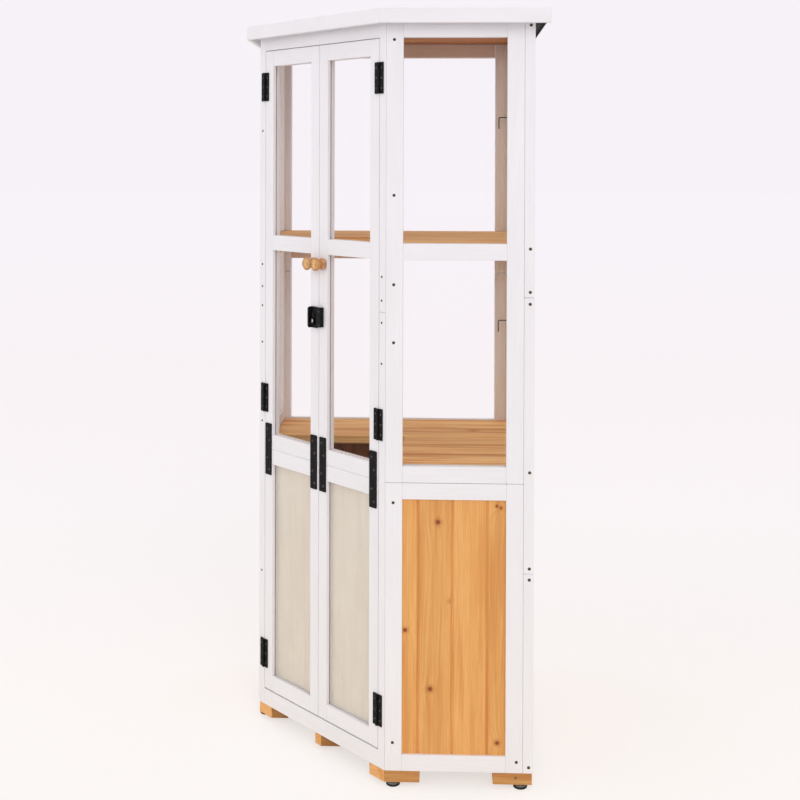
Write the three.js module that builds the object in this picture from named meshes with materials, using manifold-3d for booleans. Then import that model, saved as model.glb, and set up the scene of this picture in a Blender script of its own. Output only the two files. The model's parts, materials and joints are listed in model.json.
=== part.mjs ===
// Wooden mini greenhouse: a tall corner cabinet with two back walls, two short sides and
// a diagonal front with a pair of doors. Millimetres, +Z up. The back walls lie along +X
// and +Y, the doors face -X -Y, and the origin is on the floor, in the middle of the
// square that the walls would enclose.
import * as THREE from 'three';
import { mergeVertices } from 'three/addons/utils/BufferGeometryUtils.js';
import Module from 'manifold-3d';

const wasm = await Module();
wasm.setup();

// Plan of the cabinet
const jointGap = 0.3; // room between two pieces that bear on each other
const runningGap = 0.1; // round a pin that turns in its bore
const overrun = 5; // how far a cutting tool runs past the wood
const sideWidth = 304; // width of each short side, back wall's edge included
const panelThick = 21; // sides and back walls
const stileWidth = 35;
const railWidth = 34;
const doorWidth = 192.87;
const doorThick = 20; // doors and the frame they hang in
const doorStile = 27;
const postWidth = 19; // front post's face beside a door
const doorGap = 3; // gap round each door
const stopDepth = 10; // lip that the closed doors rest against
const stopReach = 8;
const stopGap = 0.5;

// Heights
const glideHeight = 10;
const blockHeight = 24;
const lowerHeight = 592; // boarded lower section
const upperHeight = 958; // glazed upper section
const sideHeadRail = 46;
const backHeadRail = 34;
const doorHead = 45; // head of the door frame
const doorSill = 36;
const lowerShelfRise = 6; // shelf's top above the joint between the sections
const upperShelfDrop = 5; // shelf's top below the top of the sides' middle rail
const backRailDrop = 17; // back wall's middle rail below the upper shelf's underside

// Sheets and boards in the frames
const sheetThick = 2;
const sheetInset = 9; // from the outer face to the clear sheet's groove
const grooveDepth = 6;
const boardThick = 12;
const boardInset = 5;
const boardPitch = 70.6; // tongued and grooved boards
const boardVee = 1.6;
const firstBoardShare = 0.47; // part of a board that shows beside the first stile
const plywoodThick = 4;
const plywoodLap = 8;

// Shelves and floor
const shelfThick = 20;
const shelfBoards = 6; // boards from wall to side, running along X
const lowerShelfFullBoards = 2; // boards that run the whole width
const upperShelfFullBoards = 3;
const shelfVee = 1.2;
const shelfBatten = 20;
const shelfDoorRoom = 4; // behind the closed doors
const floorThick = 15;

// Roof
const overhang = 30; // fascia's face, or the deck's edge over the back walls
const deckThick = 12;
const fasciaThick = 10;
const fasciaHeight = 30;
const fasciaDrop = 20; // below the frames' top

// Foot blocks and levelling feet
const blockInset = 2; // behind the frames' faces
const blockDepth = 70; // inwards
const cornerBlockFront = 45; // along the diagonal front
const cornerBlockSide = 72; // along the side
const endBlockLength = 80;
const middleBlockFace = 20; // the clipped corner in the front's plane
const middleBlockSize = 70;
const glideRadius = 14.5;
const glideTopRadius = 11;
const glideRim = 4; // black base of the foot
const glideNeckRadius = 7;
const stemRadius = 4;
const stemLength = 18; // into the block
const glideInset = 15; // foot's centre from the face
const cornerGlideOffset = 17.5; // foot's centre along the side, from the corner
const endGlideOffset = 25; // foot's centre from the outer corner

// Butt hinges
const hingeHeight = 65;
const hingeReach = 13.2; // leaf's edge from the pin
const leafThick = 2;
const knuckleRadius = 3;
const knuckleCount = 5;
const pinRadius = 1.2;
const hingeEndOffset = 48; // from the door's end
const middleHingeRise = 84; // above the joint between the sections

// Mending plates over the joint of each door's sections
const plateLength = 118;
const plateWidth = 22;
const plateThick = 2;
const plateCorner = 2;
const plateEdge = 3; // from the door's edge

// Knobs
const knobRise = 436; // above the joint between the sections
const knobBaseRadius = 8.5;
const knobFootRadius = 11.4;
const knobNeckRadius = 6.5;
const knobHeadRadius = 14.6;
const knobLength = 27;
// Distances from the door, as shares of the length
const knobFootShares = [0.15, 0.26];
const knobNeckShares = [0.37, 0.48];
const knobHeadShares = [0.75, 0.83];

// Latch
const latchRise = 318; // middle of the latch above the joint between the sections
const latchHeight = 46;
const latchPlateWidth = 24;
const latchKeeperWidth = 14;
const latchThick = 11;
const latchBase = 4; // plate behind the lever
const latchRim = 5;
const latchChamfer = 4;
const latchEdge = 1; // from the meeting edge of the door
const leverThick = 3;
const leverRadius = 6;
const leverWidth = 9;
const leverReach = 20.5;
const leverPinRadius = 2;
const leverPivotInset = 11; // from the meeting line
const leverPivotDrop = 11; // below the latch's middle
const thumbRadius = 4.5;
const thumbReach = 10;
const thumbHeight = 4;

// Facets round a full turn
const smallFacets = 16;
const largeFacets = 24;
const domeSteps = 5;
const cornerFacets = 3;

// Values that follow from the sizes above
const frontWidth = 2 * postWidth + 2 * doorWidth + 3 * doorGap;
const frontRun = frontWidth / Math.SQRT2;
const wallLength = sideWidth + frontRun; // outer length of each back wall
const half = wallLength / 2;
const cornerX = half - sideWidth; // near end of the diagonal front
const baseZ = glideHeight + blockHeight;
const sectionZ = baseZ + lowerHeight;
const topZ = sectionZ + upperHeight;
const windowHeight = (upperHeight - sideHeadRail - railWidth - railWidth) / 2;
const midRailZ = sectionZ + railWidth + windowHeight;
const lowerShelfZ = sectionZ + lowerShelfRise;
const upperShelfZ = midRailZ + railWidth - upperShelfDrop;
const backMidRailTop = upperShelfZ - shelfThick - backRailDrop;
const doorBottom = baseZ + doorSill + doorGap;
const doorTop = topZ - doorHead - doorGap;
const sidePanelWidth = sideWidth - panelThick;
const backPanelWidth = wallLength - panelThick;
const mitreSlope = Math.tan(Math.PI / 8);
const mitreGap = jointGap / 2 / Math.cos(Math.PI / 8);
const hingeAxisProud = knuckleRadius + jointGap;

// Materials
function paint(color, roughness, metalness = 0) {
  return new THREE.MeshStandardMaterial({ color, roughness, metalness });
}

const whitePaint = paint(0xf1eff0, 0.6);
const pine = paint(0xdf9f5c, 0.65);
const plywood = paint(0xdccdb9, 0.6);
const roofing = paint(0x2d322d, 0.9);
const blackSteel = paint(0x232323, 0.5, 0.4);
const blackPlastic = paint(0x1a1a1a, 0.55);
const clearSheet = new THREE.MeshStandardMaterial({
  color: 0xf4f7f9, roughness: 0.1, metalness: 0, transparent: true, opacity: 0.2,
});

// Solid helpers
function toSolid(geometry) {
  const bare = geometry.index ? geometry.toNonIndexed() : geometry.clone();
  bare.deleteAttribute('normal');
  bare.deleteAttribute('uv');
  const merged = mergeVertices(bare);
  return new wasm.Manifold(new wasm.Mesh({
    numProp: 3,
    vertProperties: new Float32Array(merged.attributes.position.array),
    triVerts: new Uint32Array(merged.index.array),
  }));
}

function toGeometry(solid) {
  const mesh = solid.getMesh();
  const geometry = new THREE.BufferGeometry();
  geometry.setAttribute('position', new THREE.BufferAttribute(mesh.vertProperties, 3));
  geometry.setIndex(new THREE.BufferAttribute(mesh.triVerts, 1));
  geometry.computeVertexNormals();
  return geometry;
}

function piece(name, geometry, material) {
  const mesh = new THREE.Mesh(geometry, material);
  mesh.name = name;
  return mesh;
}

// A box between two corners.
function block(x0, y0, z0, x1, y1, z1) {
  const box = new THREE.BoxGeometry(x1 - x0, y1 - y0, z1 - z0);
  return box.translate((x0 + x1) / 2, (y0 + y1) / 2, (z0 + z1) / 2);
}

function outline(points) {
  return new THREE.Shape(points.map(([x, y]) => new THREE.Vector2(x, y)));
}

// A plan outline raised from z0 to z1.
function raise(points, z0, z1) {
  const shape = points instanceof THREE.Shape ? points : outline(points);
  const geometry = new THREE.ExtrudeGeometry(shape, {
    depth: z1 - z0, bevelEnabled: false, curveSegments: smallFacets,
  });
  return geometry.translate(0, 0, z0);
}

// An outline drawn in x and z, made solid from depth y0 to y1.
function upright(shape, y0, y1) {
  const geometry = new THREE.ExtrudeGeometry(shape, {
    depth: y1 - y0, bevelEnabled: false, curveSegments: smallFacets,
  });
  return geometry.rotateX(Math.PI / 2).translate(0, y1, 0);
}

function rectangle(x0, z0, x1, z1, Kind = THREE.Shape) {
  const corners = [[x0, z0], [x1, z0], [x1, z1], [x0, z1]];
  return new Kind(corners.map(([x, z]) => new THREE.Vector2(x, z)));
}

function cylinder(radius, z0, z1, facets = smallFacets) {
  const geometry = new THREE.CylinderGeometry(radius, radius, z1 - z0, facets);
  return geometry.rotateX(Math.PI / 2).translate(0, 0, (z0 + z1) / 2);
}

function lathe(profile, facets = largeFacets) {
  const points = profile.map(([r, y]) => new THREE.Vector2(r, y));
  return new THREE.LatheGeometry(points, facets);
}

// Panels. Each is drawn with x along its width, y inwards from its outer face, and z up.

// A flat frame with square openings, each {x0, z0, x1, z1}.
function frameSolid(x0, z0, x1, z1, thick, openings) {
  const shape = rectangle(x0, z0, x1, z1);
  for (const hole of openings) {
    shape.holes.push(rectangle(hole.x0, hole.z0, hole.x1, hole.z1, THREE.Path));
  }
  return toSolid(upright(shape, 0, thick));
}

// The area that all the openings of a frame span together.
function span(openings) {
  return {
    x0: Math.min(...openings.map((o) => o.x0)),
    z0: Math.min(...openings.map((o) => o.z0)),
    x1: Math.max(...openings.map((o) => o.x1)),
    z1: Math.max(...openings.map((o) => o.z1)),
  };
}

// The groove that holds a sheet: its slot lies gap wider than the sheet on both faces.
function grooveSolid(area, inset, thick) {
  const y1 = inset + thick + jointGap + jointGap;
  return toSolid(block(
    area.x0 - grooveDepth, inset, area.z0 - grooveDepth,
    area.x1 + grooveDepth, y1, area.z1 + grooveDepth,
  ));
}

// A clear sheet, held on all four edges and running on between the middle rail's laths.
function sheet(area) {
  const lap = grooveDepth - jointGap;
  const y0 = sheetInset + jointGap;
  return block(
    area.x0 - lap, y0, area.z0 - lap,
    area.x1 + lap, y0 + sheetThick, area.z1 + lap,
  );
}

// Upright boards with a vee at each joint, on both faces. The first joint lies at firstX.
function boards(area, firstX) {
  const lap = grooveDepth - jointGap;
  const y0 = boardInset + jointGap;
  const y1 = y0 + boardThick;
  const joints = [];
  for (let x = firstX; x < area.x1 + lap - boardVee; x += boardPitch) {
    if (x > area.x0 - lap + boardVee) joints.push(x);
  }
  const front = joints.flatMap((x) => [[x - boardVee, y0], [x, y0 + boardVee], [x + boardVee, y0]]);
  const back = joints.flatMap((x) => [[x - boardVee, y1], [x, y1 - boardVee], [x + boardVee, y1]]);
  const points = [
    [area.x0 - lap, y0], ...front, [area.x1 + lap, y0],
    [area.x1 + lap, y1], ...back.reverse(), [area.x0 - lap, y1],
  ];
  return raise(points, area.z0 - lap, area.z1 + lap);
}

// The wedge cut off a panel's end where it meets its neighbour at 135 degrees.
function mitreWedge(end, inwards, thick, z0, z1) {
  const at = (y) => end + inwards * (mitreGap + y * mitreSlope);
  const past = end - inwards * (overrun + overrun * mitreSlope);
  return toSolid(raise(orient([
    [past, -overrun], [at(-overrun), -overrun], [at(thick + overrun), thick + overrun],
    [past, thick + overrun],
  ]), z0 - overrun, z1 + overrun));
}

// A plan outline listed anticlockwise.
function orient(points) {
  const area = THREE.ShapeUtils.area(points.map(([x, y]) => new THREE.Vector2(x, y)));
  return area < 0 ? points.slice().reverse() : points;
}

// The group that a panel stands in: its origin, and its turn about Z.
function stand(x, y, turn) {
  const group = new THREE.Group();
  group.position.set(x, y, 0);
  group.rotation.z = turn;
  return group;
}

// A short side. Its mitred end is at x = 0 or, mirrored, at x = sidePanelWidth.
function sidePanel(side, mirrored) {
  const x0 = mirrored ? jointGap : 0;
  const x1 = mirrored ? sidePanelWidth : sidePanelWidth - jointGap;
  const mitreEnd = mirrored ? sidePanelWidth : 0;
  const inwards = mirrored ? -1 : 1;
  const left = stileWidth;
  const right = sidePanelWidth - stileWidth;
  const windows = [0, 1].map((row) => {
    const z0 = sectionZ + railWidth + row * (windowHeight + railWidth);
    return { x0: left, z0, x1: right, z1: z0 + windowHeight };
  });
  const panelArea = {
    x0: left, z0: baseZ + railWidth, x1: right, z1: sectionZ - railWidth,
  };
  const upper = frameSolid(x0, sectionZ + jointGap, x1, topZ, panelThick, windows)
    .subtract(grooveSolid(span(windows), sheetInset, sheetThick))
    .subtract(mitreWedge(mitreEnd, inwards, panelThick, sectionZ, topZ));
  const lower = frameSolid(x0, baseZ + jointGap, x1, sectionZ, panelThick, [panelArea])
    .subtract(grooveSolid(panelArea, boardInset, boardThick))
    .subtract(mitreWedge(mitreEnd, inwards, panelThick, baseZ, sectionZ));
  const firstBoard = boardPitch * firstBoardShare;
  const whole = Math.floor((right - left - firstBoard) / boardPitch);
  const firstX = mirrored ? right - firstBoard - whole * boardPitch : left + firstBoard;
  return [
    piece(`${side}_side_upper_frame`, toGeometry(upper), whitePaint),
    piece(`${side}_side_glazing`, sheet(span(windows)), clearSheet),
    piece(`${side}_side_lower_frame`, toGeometry(lower), whitePaint),
    piece(`${side}_side_boards`, boards(panelArea, firstX), pine),
  ];
}

// A back wall in one frame, from x0 to x1, boarded below the lower shelf's rail.
function backPanel(side, x0, x1) {
  const left = x0 + stileWidth;
  const right = x1 - stileWidth;
  const panelArea = {
    x0: left, z0: baseZ + railWidth, x1: right, z1: lowerShelfZ - railWidth,
  };
  const windows = [
    { x0: left, z0: lowerShelfZ, x1: right, z1: backMidRailTop - railWidth },
    { x0: left, z0: backMidRailTop, x1: right, z1: topZ - backHeadRail },
  ];
  const frame = frameSolid(x0, baseZ + jointGap, x1, topZ, panelThick, [panelArea, ...windows])
    .subtract(grooveSolid(span(windows), sheetInset, sheetThick))
    .subtract(grooveSolid(panelArea, boardInset, boardThick));
  return [
    piece(`${side}_back_frame`, toGeometry(frame), whitePaint),
    piece(`${side}_back_glazing`, sheet(span(windows)), clearSheet),
    piece(`${side}_back_boards`, boards(panelArea, left + boardPitch / 2), pine),
  ];
}

// The fixed frame round the doors: two mitred posts, a head and a sill, all with a lip
// behind the doors. x runs from the left corner to the right one.
function frontFrame() {
  const z0 = baseZ + jointGap;
  const face = doorThick + stopGap;
  const back = face + stopDepth;
  const post = (end, inwards) => {
    const at = (x, y) => [end + inwards * x, y];
    return toSolid(raise(orient([
      at(mitreGap, 0), at(postWidth, 0), at(postWidth, face), at(postWidth + stopReach, face),
      at(postWidth + stopReach, back), at(mitreGap + back * mitreSlope, back),
    ]), z0, topZ));
  };
  const x0 = postWidth - jointGap;
  const x1 = frontWidth - postWidth + jointGap;
  const headZ = topZ - doorHead;
  const sillZ = baseZ + doorSill;
  const solid = post(0, 1)
    .add(post(frontWidth, -1))
    .add(toSolid(block(x0, 0, headZ, x1, back, topZ)))
    .add(toSolid(block(x0, face, headZ - stopReach, x1, back, topZ)))
    .add(toSolid(block(x0, 0, z0, x1, back, sillZ)))
    .add(toSolid(block(x0, face, z0, x1, back, sillZ + stopReach)));
  return piece('front_frame', toGeometry(solid), whitePaint);
}

// A door seen from outside, from x0 to x0 + doorWidth. meeting is 1 where the door's
// right edge meets the other door, and -1 where its left edge does.
function door(side, x0, meeting) {
  const x1 = x0 + doorWidth;
  const left = x0 + doorStile;
  const right = x1 - doorStile;
  const windows = [
    { x0: left, z0: sectionZ + railWidth, x1: right, z1: midRailZ },
    { x0: left, z0: midRailZ + railWidth, x1: right, z1: doorTop - railWidth },
  ];
  const panelArea = {
    x0: left, z0: doorBottom + railWidth, x1: right, z1: sectionZ - railWidth,
  };
  const upper = frameSolid(x0, sectionZ + jointGap, x1, doorTop, doorThick, windows)
    .subtract(grooveSolid(span(windows), sheetInset, sheetThick));
  const rebateY = doorThick - plywoodThick - jointGap;
  const rebate = toSolid(block(
    left - plywoodLap, rebateY, panelArea.z0 - plywoodLap,
    right + plywoodLap, doorThick + overrun, panelArea.z1 + plywoodLap,
  ));
  const lower = frameSolid(x0, doorBottom, x1, sectionZ, doorThick, [panelArea])
    .subtract(grooveSolid(panelArea, sheetInset, sheetThick))
    .subtract(rebate);
  const lap = plywoodLap - jointGap;
  const panel = block(
    left - lap, doorThick - plywoodThick, panelArea.z0 - lap,
    right + lap, doorThick, panelArea.z1 + lap,
  );
  const hingeEdge = meeting > 0 ? x0 : x1;
  const meetingEdge = meeting > 0 ? x1 : x0;
  const plateShift = plateEdge + plateWidth / 2;
  const knob = piece(`${side}_door_knob`, knobShape(), pine);
  knob.position.set(
    meetingEdge - meeting * doorStile / 2, -jointGap, sectionZ + knobRise,
  );
  return [
    piece(`${side}_door_upper_frame`, toGeometry(upper), whitePaint),
    piece(`${side}_door_glazing`, sheet(span(windows)), clearSheet),
    piece(`${side}_door_lower_frame`, toGeometry(lower), whitePaint),
    piece(`${side}_door_lower_panel`, panel, plywood),
    piece(`${side}_door_hinge_plate`, plateShape(hingeEdge + meeting * plateShift), blackSteel),
    piece(`${side}_door_meeting_plate`, plateShape(meetingEdge - meeting * plateShift), blackSteel),
    knob,
  ];
}

// A flat mending plate with rounded corners, centred on x across the sections' joint.
function plateShape(x) {
  const z = sectionZ + jointGap / 2;
  const reachX = plateWidth / 2;
  const reachZ = plateLength / 2;
  const shape = new THREE.Shape();
  for (const [sx, sz, start] of [[1, 1, 0], [-1, 1, 1], [-1, -1, 2], [1, -1, 3]]) {
    const angle = start * Math.PI / 2;
    shape.absarc(
      x + sx * (reachX - plateCorner), z + sz * (reachZ - plateCorner), plateCorner,
      angle, angle + Math.PI / 2, false,
    );
  }
  const geometry = new THREE.ExtrudeGeometry(shape, {
    depth: plateThick, bevelEnabled: false, curveSegments: cornerFacets,
  });
  return geometry.rotateX(Math.PI / 2).translate(0, -jointGap, 0);
}

// A turned mushroom knob whose foot stands on the door's face.
function knobShape() {
  const ring = (radius, shares) => shares.map((share) => [radius, share * knobLength]);
  const profile = [
    [0, 0], [knobBaseRadius, 0],
    ...ring(knobFootRadius, knobFootShares),
    ...ring(knobNeckRadius, knobNeckShares),
    ...ring(knobHeadRadius, knobHeadShares),
  ];
  const domeStart = knobHeadShares[1] * knobLength;
  for (let step = 1; step <= domeSteps; step += 1) {
    const angle = step / domeSteps * Math.PI / 2;
    const radius = step < domeSteps ? knobHeadRadius * Math.cos(angle) : 0;
    profile.push([radius, domeStart + (knobLength - domeStart) * Math.sin(angle)]);
  }
  return lathe(profile).rotateX(Math.PI);
}

// One butt hinge at the height z, its pin at x. outwards points from the pin to the post.
function hinge(name, x, z, outwards) {
  const pitch = hingeHeight / knuckleCount;
  const leaf = (towards, firstKnuckle) => {
    const y1 = hingeAxisProud - jointGap;
    const y0 = y1 - leafThick;
    const rootX = knuckleRadius + jointGap;
    const [plateA, plateB] = [towards * rootX, towards * hingeReach].sort((a, b) => a - b);
    let solid = toSolid(block(plateA, y0, 0, plateB, y1, hingeHeight));
    for (let i = firstKnuckle; i < knuckleCount; i += 2) {
      const low = i * pitch + (i > 0 ? jointGap / 2 : 0);
      const high = (i + 1) * pitch - (i < knuckleCount - 1 ? jointGap / 2 : 0);
      const [tabA, tabB] = [0, towards * (rootX + leafThick)].sort((a, b) => a - b);
      solid = solid
        .add(toSolid(cylinder(knuckleRadius, low, high)))
        .add(toSolid(block(tabA, y0, low, tabB, y1, high)));
    }
    return solid;
  };
  const frameLeaf = leaf(outwards, 0).add(toSolid(cylinder(pinRadius, 0, hingeHeight)));
  const bore = toSolid(cylinder(pinRadius + runningGap, -overrun, hingeHeight + overrun));
  const doorLeaf = leaf(-outwards, 1).subtract(bore);
  const group = new THREE.Group();
  group.position.set(x, -hingeAxisProud, z);
  group.add(
    piece(`${name}_frame_leaf`, toGeometry(frameLeaf), blackSteel),
    piece(`${name}_door_leaf`, toGeometry(doorLeaf), blackSteel),
  );
  return group;
}

// The three hinges of one door.
function doorHinges(side, x, outwards) {
  const heights = {
    bottom: doorBottom + hingeEndOffset,
    middle: sectionZ + middleHingeRise,
    top: doorTop - hingeEndOffset - hingeHeight,
  };
  return Object.entries(heights).map(([place, z]) => hinge(`${side}_hinge_${place}`, x, z, outwards));
}

// The latch: a plate with a rim on the left door, a thumb lever on its pin, and on the
// right door a keeper whose slot the lever's end turns into.
function latch(meetX) {
  const midZ = sectionZ + latchRise;
  const low = midZ - latchHeight / 2;
  const high = midZ + latchHeight / 2;
  const edgeX = meetX - doorGap / 2 - latchEdge;
  const farX = edgeX - latchPlateWidth;
  const plateOutline = outline([
    [farX + latchChamfer, low], [edgeX, low], [edgeX, high], [farX + latchChamfer, high],
    [farX, high - latchChamfer], [farX, low + latchChamfer],
  ]);
  const pivot = [meetX - leverPivotInset, midZ - leverPivotDrop];
  const baseY = -latchBase;
  const leverY = baseY - jointGap;
  const thumbY = leverY - leverThick;
  const rimCut = toSolid(block(
    farX + latchRim, -latchThick - overrun, low - overrun,
    edgeX + overrun, baseY, high + overrun,
  ));
  const pinTip = thumbY - jointGap;
  const pin = toSolid(cylinder(leverPinRadius, latchBase / 2, -pinTip).rotateX(Math.PI / 2)
    .translate(pivot[0], 0, pivot[1]));
  const plate = toSolid(upright(plateOutline, -latchThick, -jointGap)).subtract(rimCut).add(pin);

  const lever = new THREE.Shape();
  lever.absarc(pivot[0], pivot[1], leverRadius, Math.PI, 2 * Math.PI, false);
  lever.lineTo(pivot[0] + leverWidth / 2, pivot[1] + leverRadius);
  lever.lineTo(pivot[0] + leverWidth / 2, pivot[1] + leverReach);
  lever.lineTo(pivot[0] - leverWidth / 2, pivot[1] + leverReach);
  lever.lineTo(pivot[0] - leverWidth / 2, pivot[1] + leverRadius);
  const thumb = new THREE.Shape();
  thumb.absarc(pivot[0], pivot[1], thumbRadius, 5 / 6 * Math.PI, 13 / 6 * Math.PI, false);
  thumb.lineTo(pivot[0], pivot[1] + thumbReach);
  const boreEnd = pinTip - jointGap;
  const bore = toSolid(cylinder(leverPinRadius + runningGap, -overrun, -boreEnd).rotateX(Math.PI / 2)
    .translate(pivot[0], 0, pivot[1]));
  const leverSolid = toSolid(upright(lever, thumbY, leverY))
    .add(toSolid(upright(thumb, thumbY - thumbHeight, thumbY + leverThick / 2)))
    .subtract(bore);

  const keepX0 = meetX + doorGap / 2 + latchEdge;
  const keepX1 = keepX0 + latchKeeperWidth;
  const tip = Math.hypot(leverReach, leverWidth / 2);
  const slotEnd = Math.min(meetX - leverPivotInset + tip + jointGap, keepX1 - jointGap);
  const slot = toSolid(block(
    keepX0 - overrun, thumbY - jointGap, low - overrun, slotEnd, baseY, high + overrun,
  ));
  const keeper = toSolid(block(keepX0, -latchThick, low, keepX1, -jointGap, high)).subtract(slot);
  return [
    piece('latch_plate', toGeometry(plate), blackSteel),
    piece('latch_lever', toGeometry(leverSolid), blackSteel),
    piece('latch_keeper', toGeometry(keeper), blackSteel),
  ];
}

// The plan outline of the whole cabinet, moved outwards: front is the distance for the
// sides and the diagonal front, back is the distance for the back walls.
function planOutline(front, back) {
  const nearX = cornerX - front * mitreSlope;
  return [
    [nearX, -half - front], [half + back, -half - front], [half + back, half + back],
    [-half - front, half + back], [-half - front, nearX],
  ];
}

function roof() {
  const deckEdge = overhang - fasciaThick - jointGap;
  const deckZ = topZ + jointGap;
  const fasciaZ = topZ - fasciaDrop;
  const outer = planOutline(overhang, overhang);
  const inner = planOutline(overhang - fasciaThick, overhang);
  const ring = [outer[0], outer[1], inner[1], inner[0], inner[4], inner[3], outer[3], outer[4]];
  return [
    piece('roof_deck', raise(planOutline(deckEdge, overhang), deckZ, deckZ + deckThick), roofing),
    piece('roof_fascia', raise(orient(ring), fasciaZ, fasciaZ + fasciaHeight), whitePaint),
  ];
}

// A shelf: the rear boards run the whole width, and the others end behind the doors.
function shelf(name, topOfShelf, fullBoards) {
  const inside = half - panelThick - jointGap;
  const boardWidth = 2 * inside / shelfBoards;
  const stepY = inside - fullBoards * boardWidth;
  const doorRoom = doorThick + stopGap + stopDepth + shelfDoorRoom;
  const limit = planOutline(-doorRoom, -panelThick - jointGap);
  const stepX = limit[0][0] + doorRoom - panelThick;
  const z0 = topOfShelf - shelfThick;
  const plan = [
    [stepX, -inside], [inside, -inside], [inside, inside], [-inside, inside],
    [-inside, stepY], [stepX, stepY],
  ];
  const battenZ = z0 - shelfBatten;
  const clip = [
    [-inside, half], [-inside, stepX], [stepX, -inside], [half, -inside], [half, half],
  ];
  let solid = toSolid(raise(plan, z0, topOfShelf))
    .add(toSolid(block(inside - shelfBatten, -inside, battenZ, inside, inside, z0 + jointGap)))
    .add(toSolid(block(-inside, stepY, battenZ, shelfBatten - inside, inside, z0 + jointGap)))
    .intersect(toSolid(raise(orient(clip), battenZ - overrun, topOfShelf + overrun)));
  for (let i = 1; i < shelfBoards; i += 1) {
    const y = inside - i * boardWidth;
    const vee = new THREE.CylinderGeometry(shelfVee, shelfVee, 2 * wallLength, 4);
    vee.rotateZ(Math.PI / 2).translate(0, y, topOfShelf);
    solid = solid.subtract(toSolid(vee));
  }
  return piece(name, toGeometry(solid), pine);
}

function floorPanel() {
  const doorRoom = doorThick + stopGap + stopDepth + jointGap;
  const limit = planOutline(-doorRoom, -panelThick - jointGap);
  const inside = half - panelThick - jointGap;
  const nearX = limit[0][0] + doorRoom - panelThick - jointGap;
  const plan = [
    [nearX, -inside], [inside, -inside], [inside, inside], [-inside, inside], [-inside, nearX],
  ];
  const z0 = baseZ + jointGap;
  return piece('floor_panel', raise(plan, z0, z0 + floorThick), pine);
}

// Foot blocks, each with its plan outline and the bore for the foot's stem, if it has one.
function feet() {
  const face = half - blockInset;
  const deep = face - blockDepth;
  const run = cornerBlockFront / Math.SQRT2;
  const inset = blockInset * mitreSlope;
  const nearX = cornerX - inset;
  const far = cornerX + cornerBlockSide;
  const corner = [
    [nearX, -face], [far, -face], [far, -deep], [nearX - run, -deep], [nearX - run, run - face],
  ];
  const end = [
    [face - endBlockLength, -face], [face, -face], [face, -deep], [face - endBlockLength, -deep],
  ];
  const mirror = (points) => points.map(([x, y]) => [y, x]);
  const middleAt = (nearX - face) / 2;
  const clipRun = middleBlockFace / Math.SQRT2 / 2;
  const low = middleAt - clipRun;
  const high = middleAt + clipRun;
  const middle = [
    [high, low], [low + middleBlockSize, low], [low + middleBlockSize, low + middleBlockSize],
    [low, low + middleBlockSize], [low, high],
  ];
  const backLow = face - endBlockLength;
  const back = [[backLow, backLow], [face, backLow], [face, face], [backLow, face]];
  const cornerFoot = [cornerX + cornerGlideOffset, glideInset - half];
  const endFoot = [half - endGlideOffset, glideInset - half];
  const backFoot = [half - endGlideOffset, half - endGlideOffset];
  const plans = {
    front_right: [corner, cornerFoot],
    front_left: [mirror(corner), cornerFoot.slice().reverse()],
    front_middle: [middle, null],
    right: [end, endFoot],
    left: [mirror(end), endFoot.slice().reverse()],
    back: [back, backFoot],
  };
  const pieces = [];
  for (const [place, [plan, foot]] of Object.entries(plans)) {
    let solid = toSolid(raise(orient(plan), glideHeight, baseZ));
    if (foot) {
      const boreTop = glideHeight + stemLength + jointGap;
      const bore = toSolid(cylinder(stemRadius + runningGap, glideHeight - overrun, boreTop)
        .translate(foot[0], foot[1], 0));
      solid = solid.subtract(bore);
      const levelling = piece(`levelling_foot_${place}`, glideShape(), blackPlastic);
      levelling.position.set(foot[0], foot[1], 0);
      pieces.push(levelling);
    }
    pieces.push(piece(`foot_block_${place}`, toGeometry(solid), pine));
  }
  return pieces;
}

// A levelling foot: a round base that tapers to a neck, and a stem up into the block.
function glideShape() {
  const top = glideHeight - jointGap;
  const waist = (glideRim + top) / 2;
  return lathe([
    [0, 0], [glideRadius - glideRim / 2, 0], [glideRadius, glideRim / 2],
    [glideRadius, glideRim], [glideTopRadius, waist], [glideNeckRadius, top],
    [stemRadius, top], [stemRadius, glideHeight + stemLength], [0, glideHeight + stemLength],
  ]).rotateX(Math.PI / 2);
}

// The diagonal front with its doors, hinges and latch.
function front() {
  const group = stand(-half, cornerX, -Math.PI / 4);
  const leftX = postWidth + doorGap;
  const rightX = leftX + doorWidth + doorGap;
  group.add(
    frontFrame(),
    ...door('left', leftX, 1),
    ...door('right', rightX, -1),
    ...doorHinges('left', postWidth + doorGap / 2, -1),
    ...doorHinges('right', frontWidth - postWidth - doorGap / 2, 1),
    ...latch(frontWidth / 2),
  );
  return group;
}

const greenhouse = new THREE.Group();
const rightSide = stand(cornerX, -half, 0);
rightSide.add(...sidePanel('right', false));
const leftSide = stand(-half, half - panelThick, -Math.PI / 2);
leftSide.add(...sidePanel('left', true));
const rightBack = stand(half, -half, Math.PI / 2);
rightBack.add(...backPanel('right', 0, wallLength));
const leftBack = stand(half - panelThick, half, Math.PI);
leftBack.add(...backPanel('left', jointGap, backPanelWidth));
greenhouse.add(
  rightSide, leftSide, rightBack, leftBack, front(), ...roof(),
  shelf('upper_shelf', upperShelfZ, upperShelfFullBoards),
  shelf('lower_shelf', lowerShelfZ, lowerShelfFullBoards),
  floorPanel(), ...feet(),
);

export default greenhouse;
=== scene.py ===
# %% [markdown]
# # A wooden mini greenhouse
# The object is a tall corner cabinet: two back walls, two short sides and a diagonal front
# with a pair of doors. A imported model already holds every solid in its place. This lesson
# dresses it: each timber, board, sheet and fitting gets its real edge, its grain and its finish.

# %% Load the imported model
import json

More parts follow.
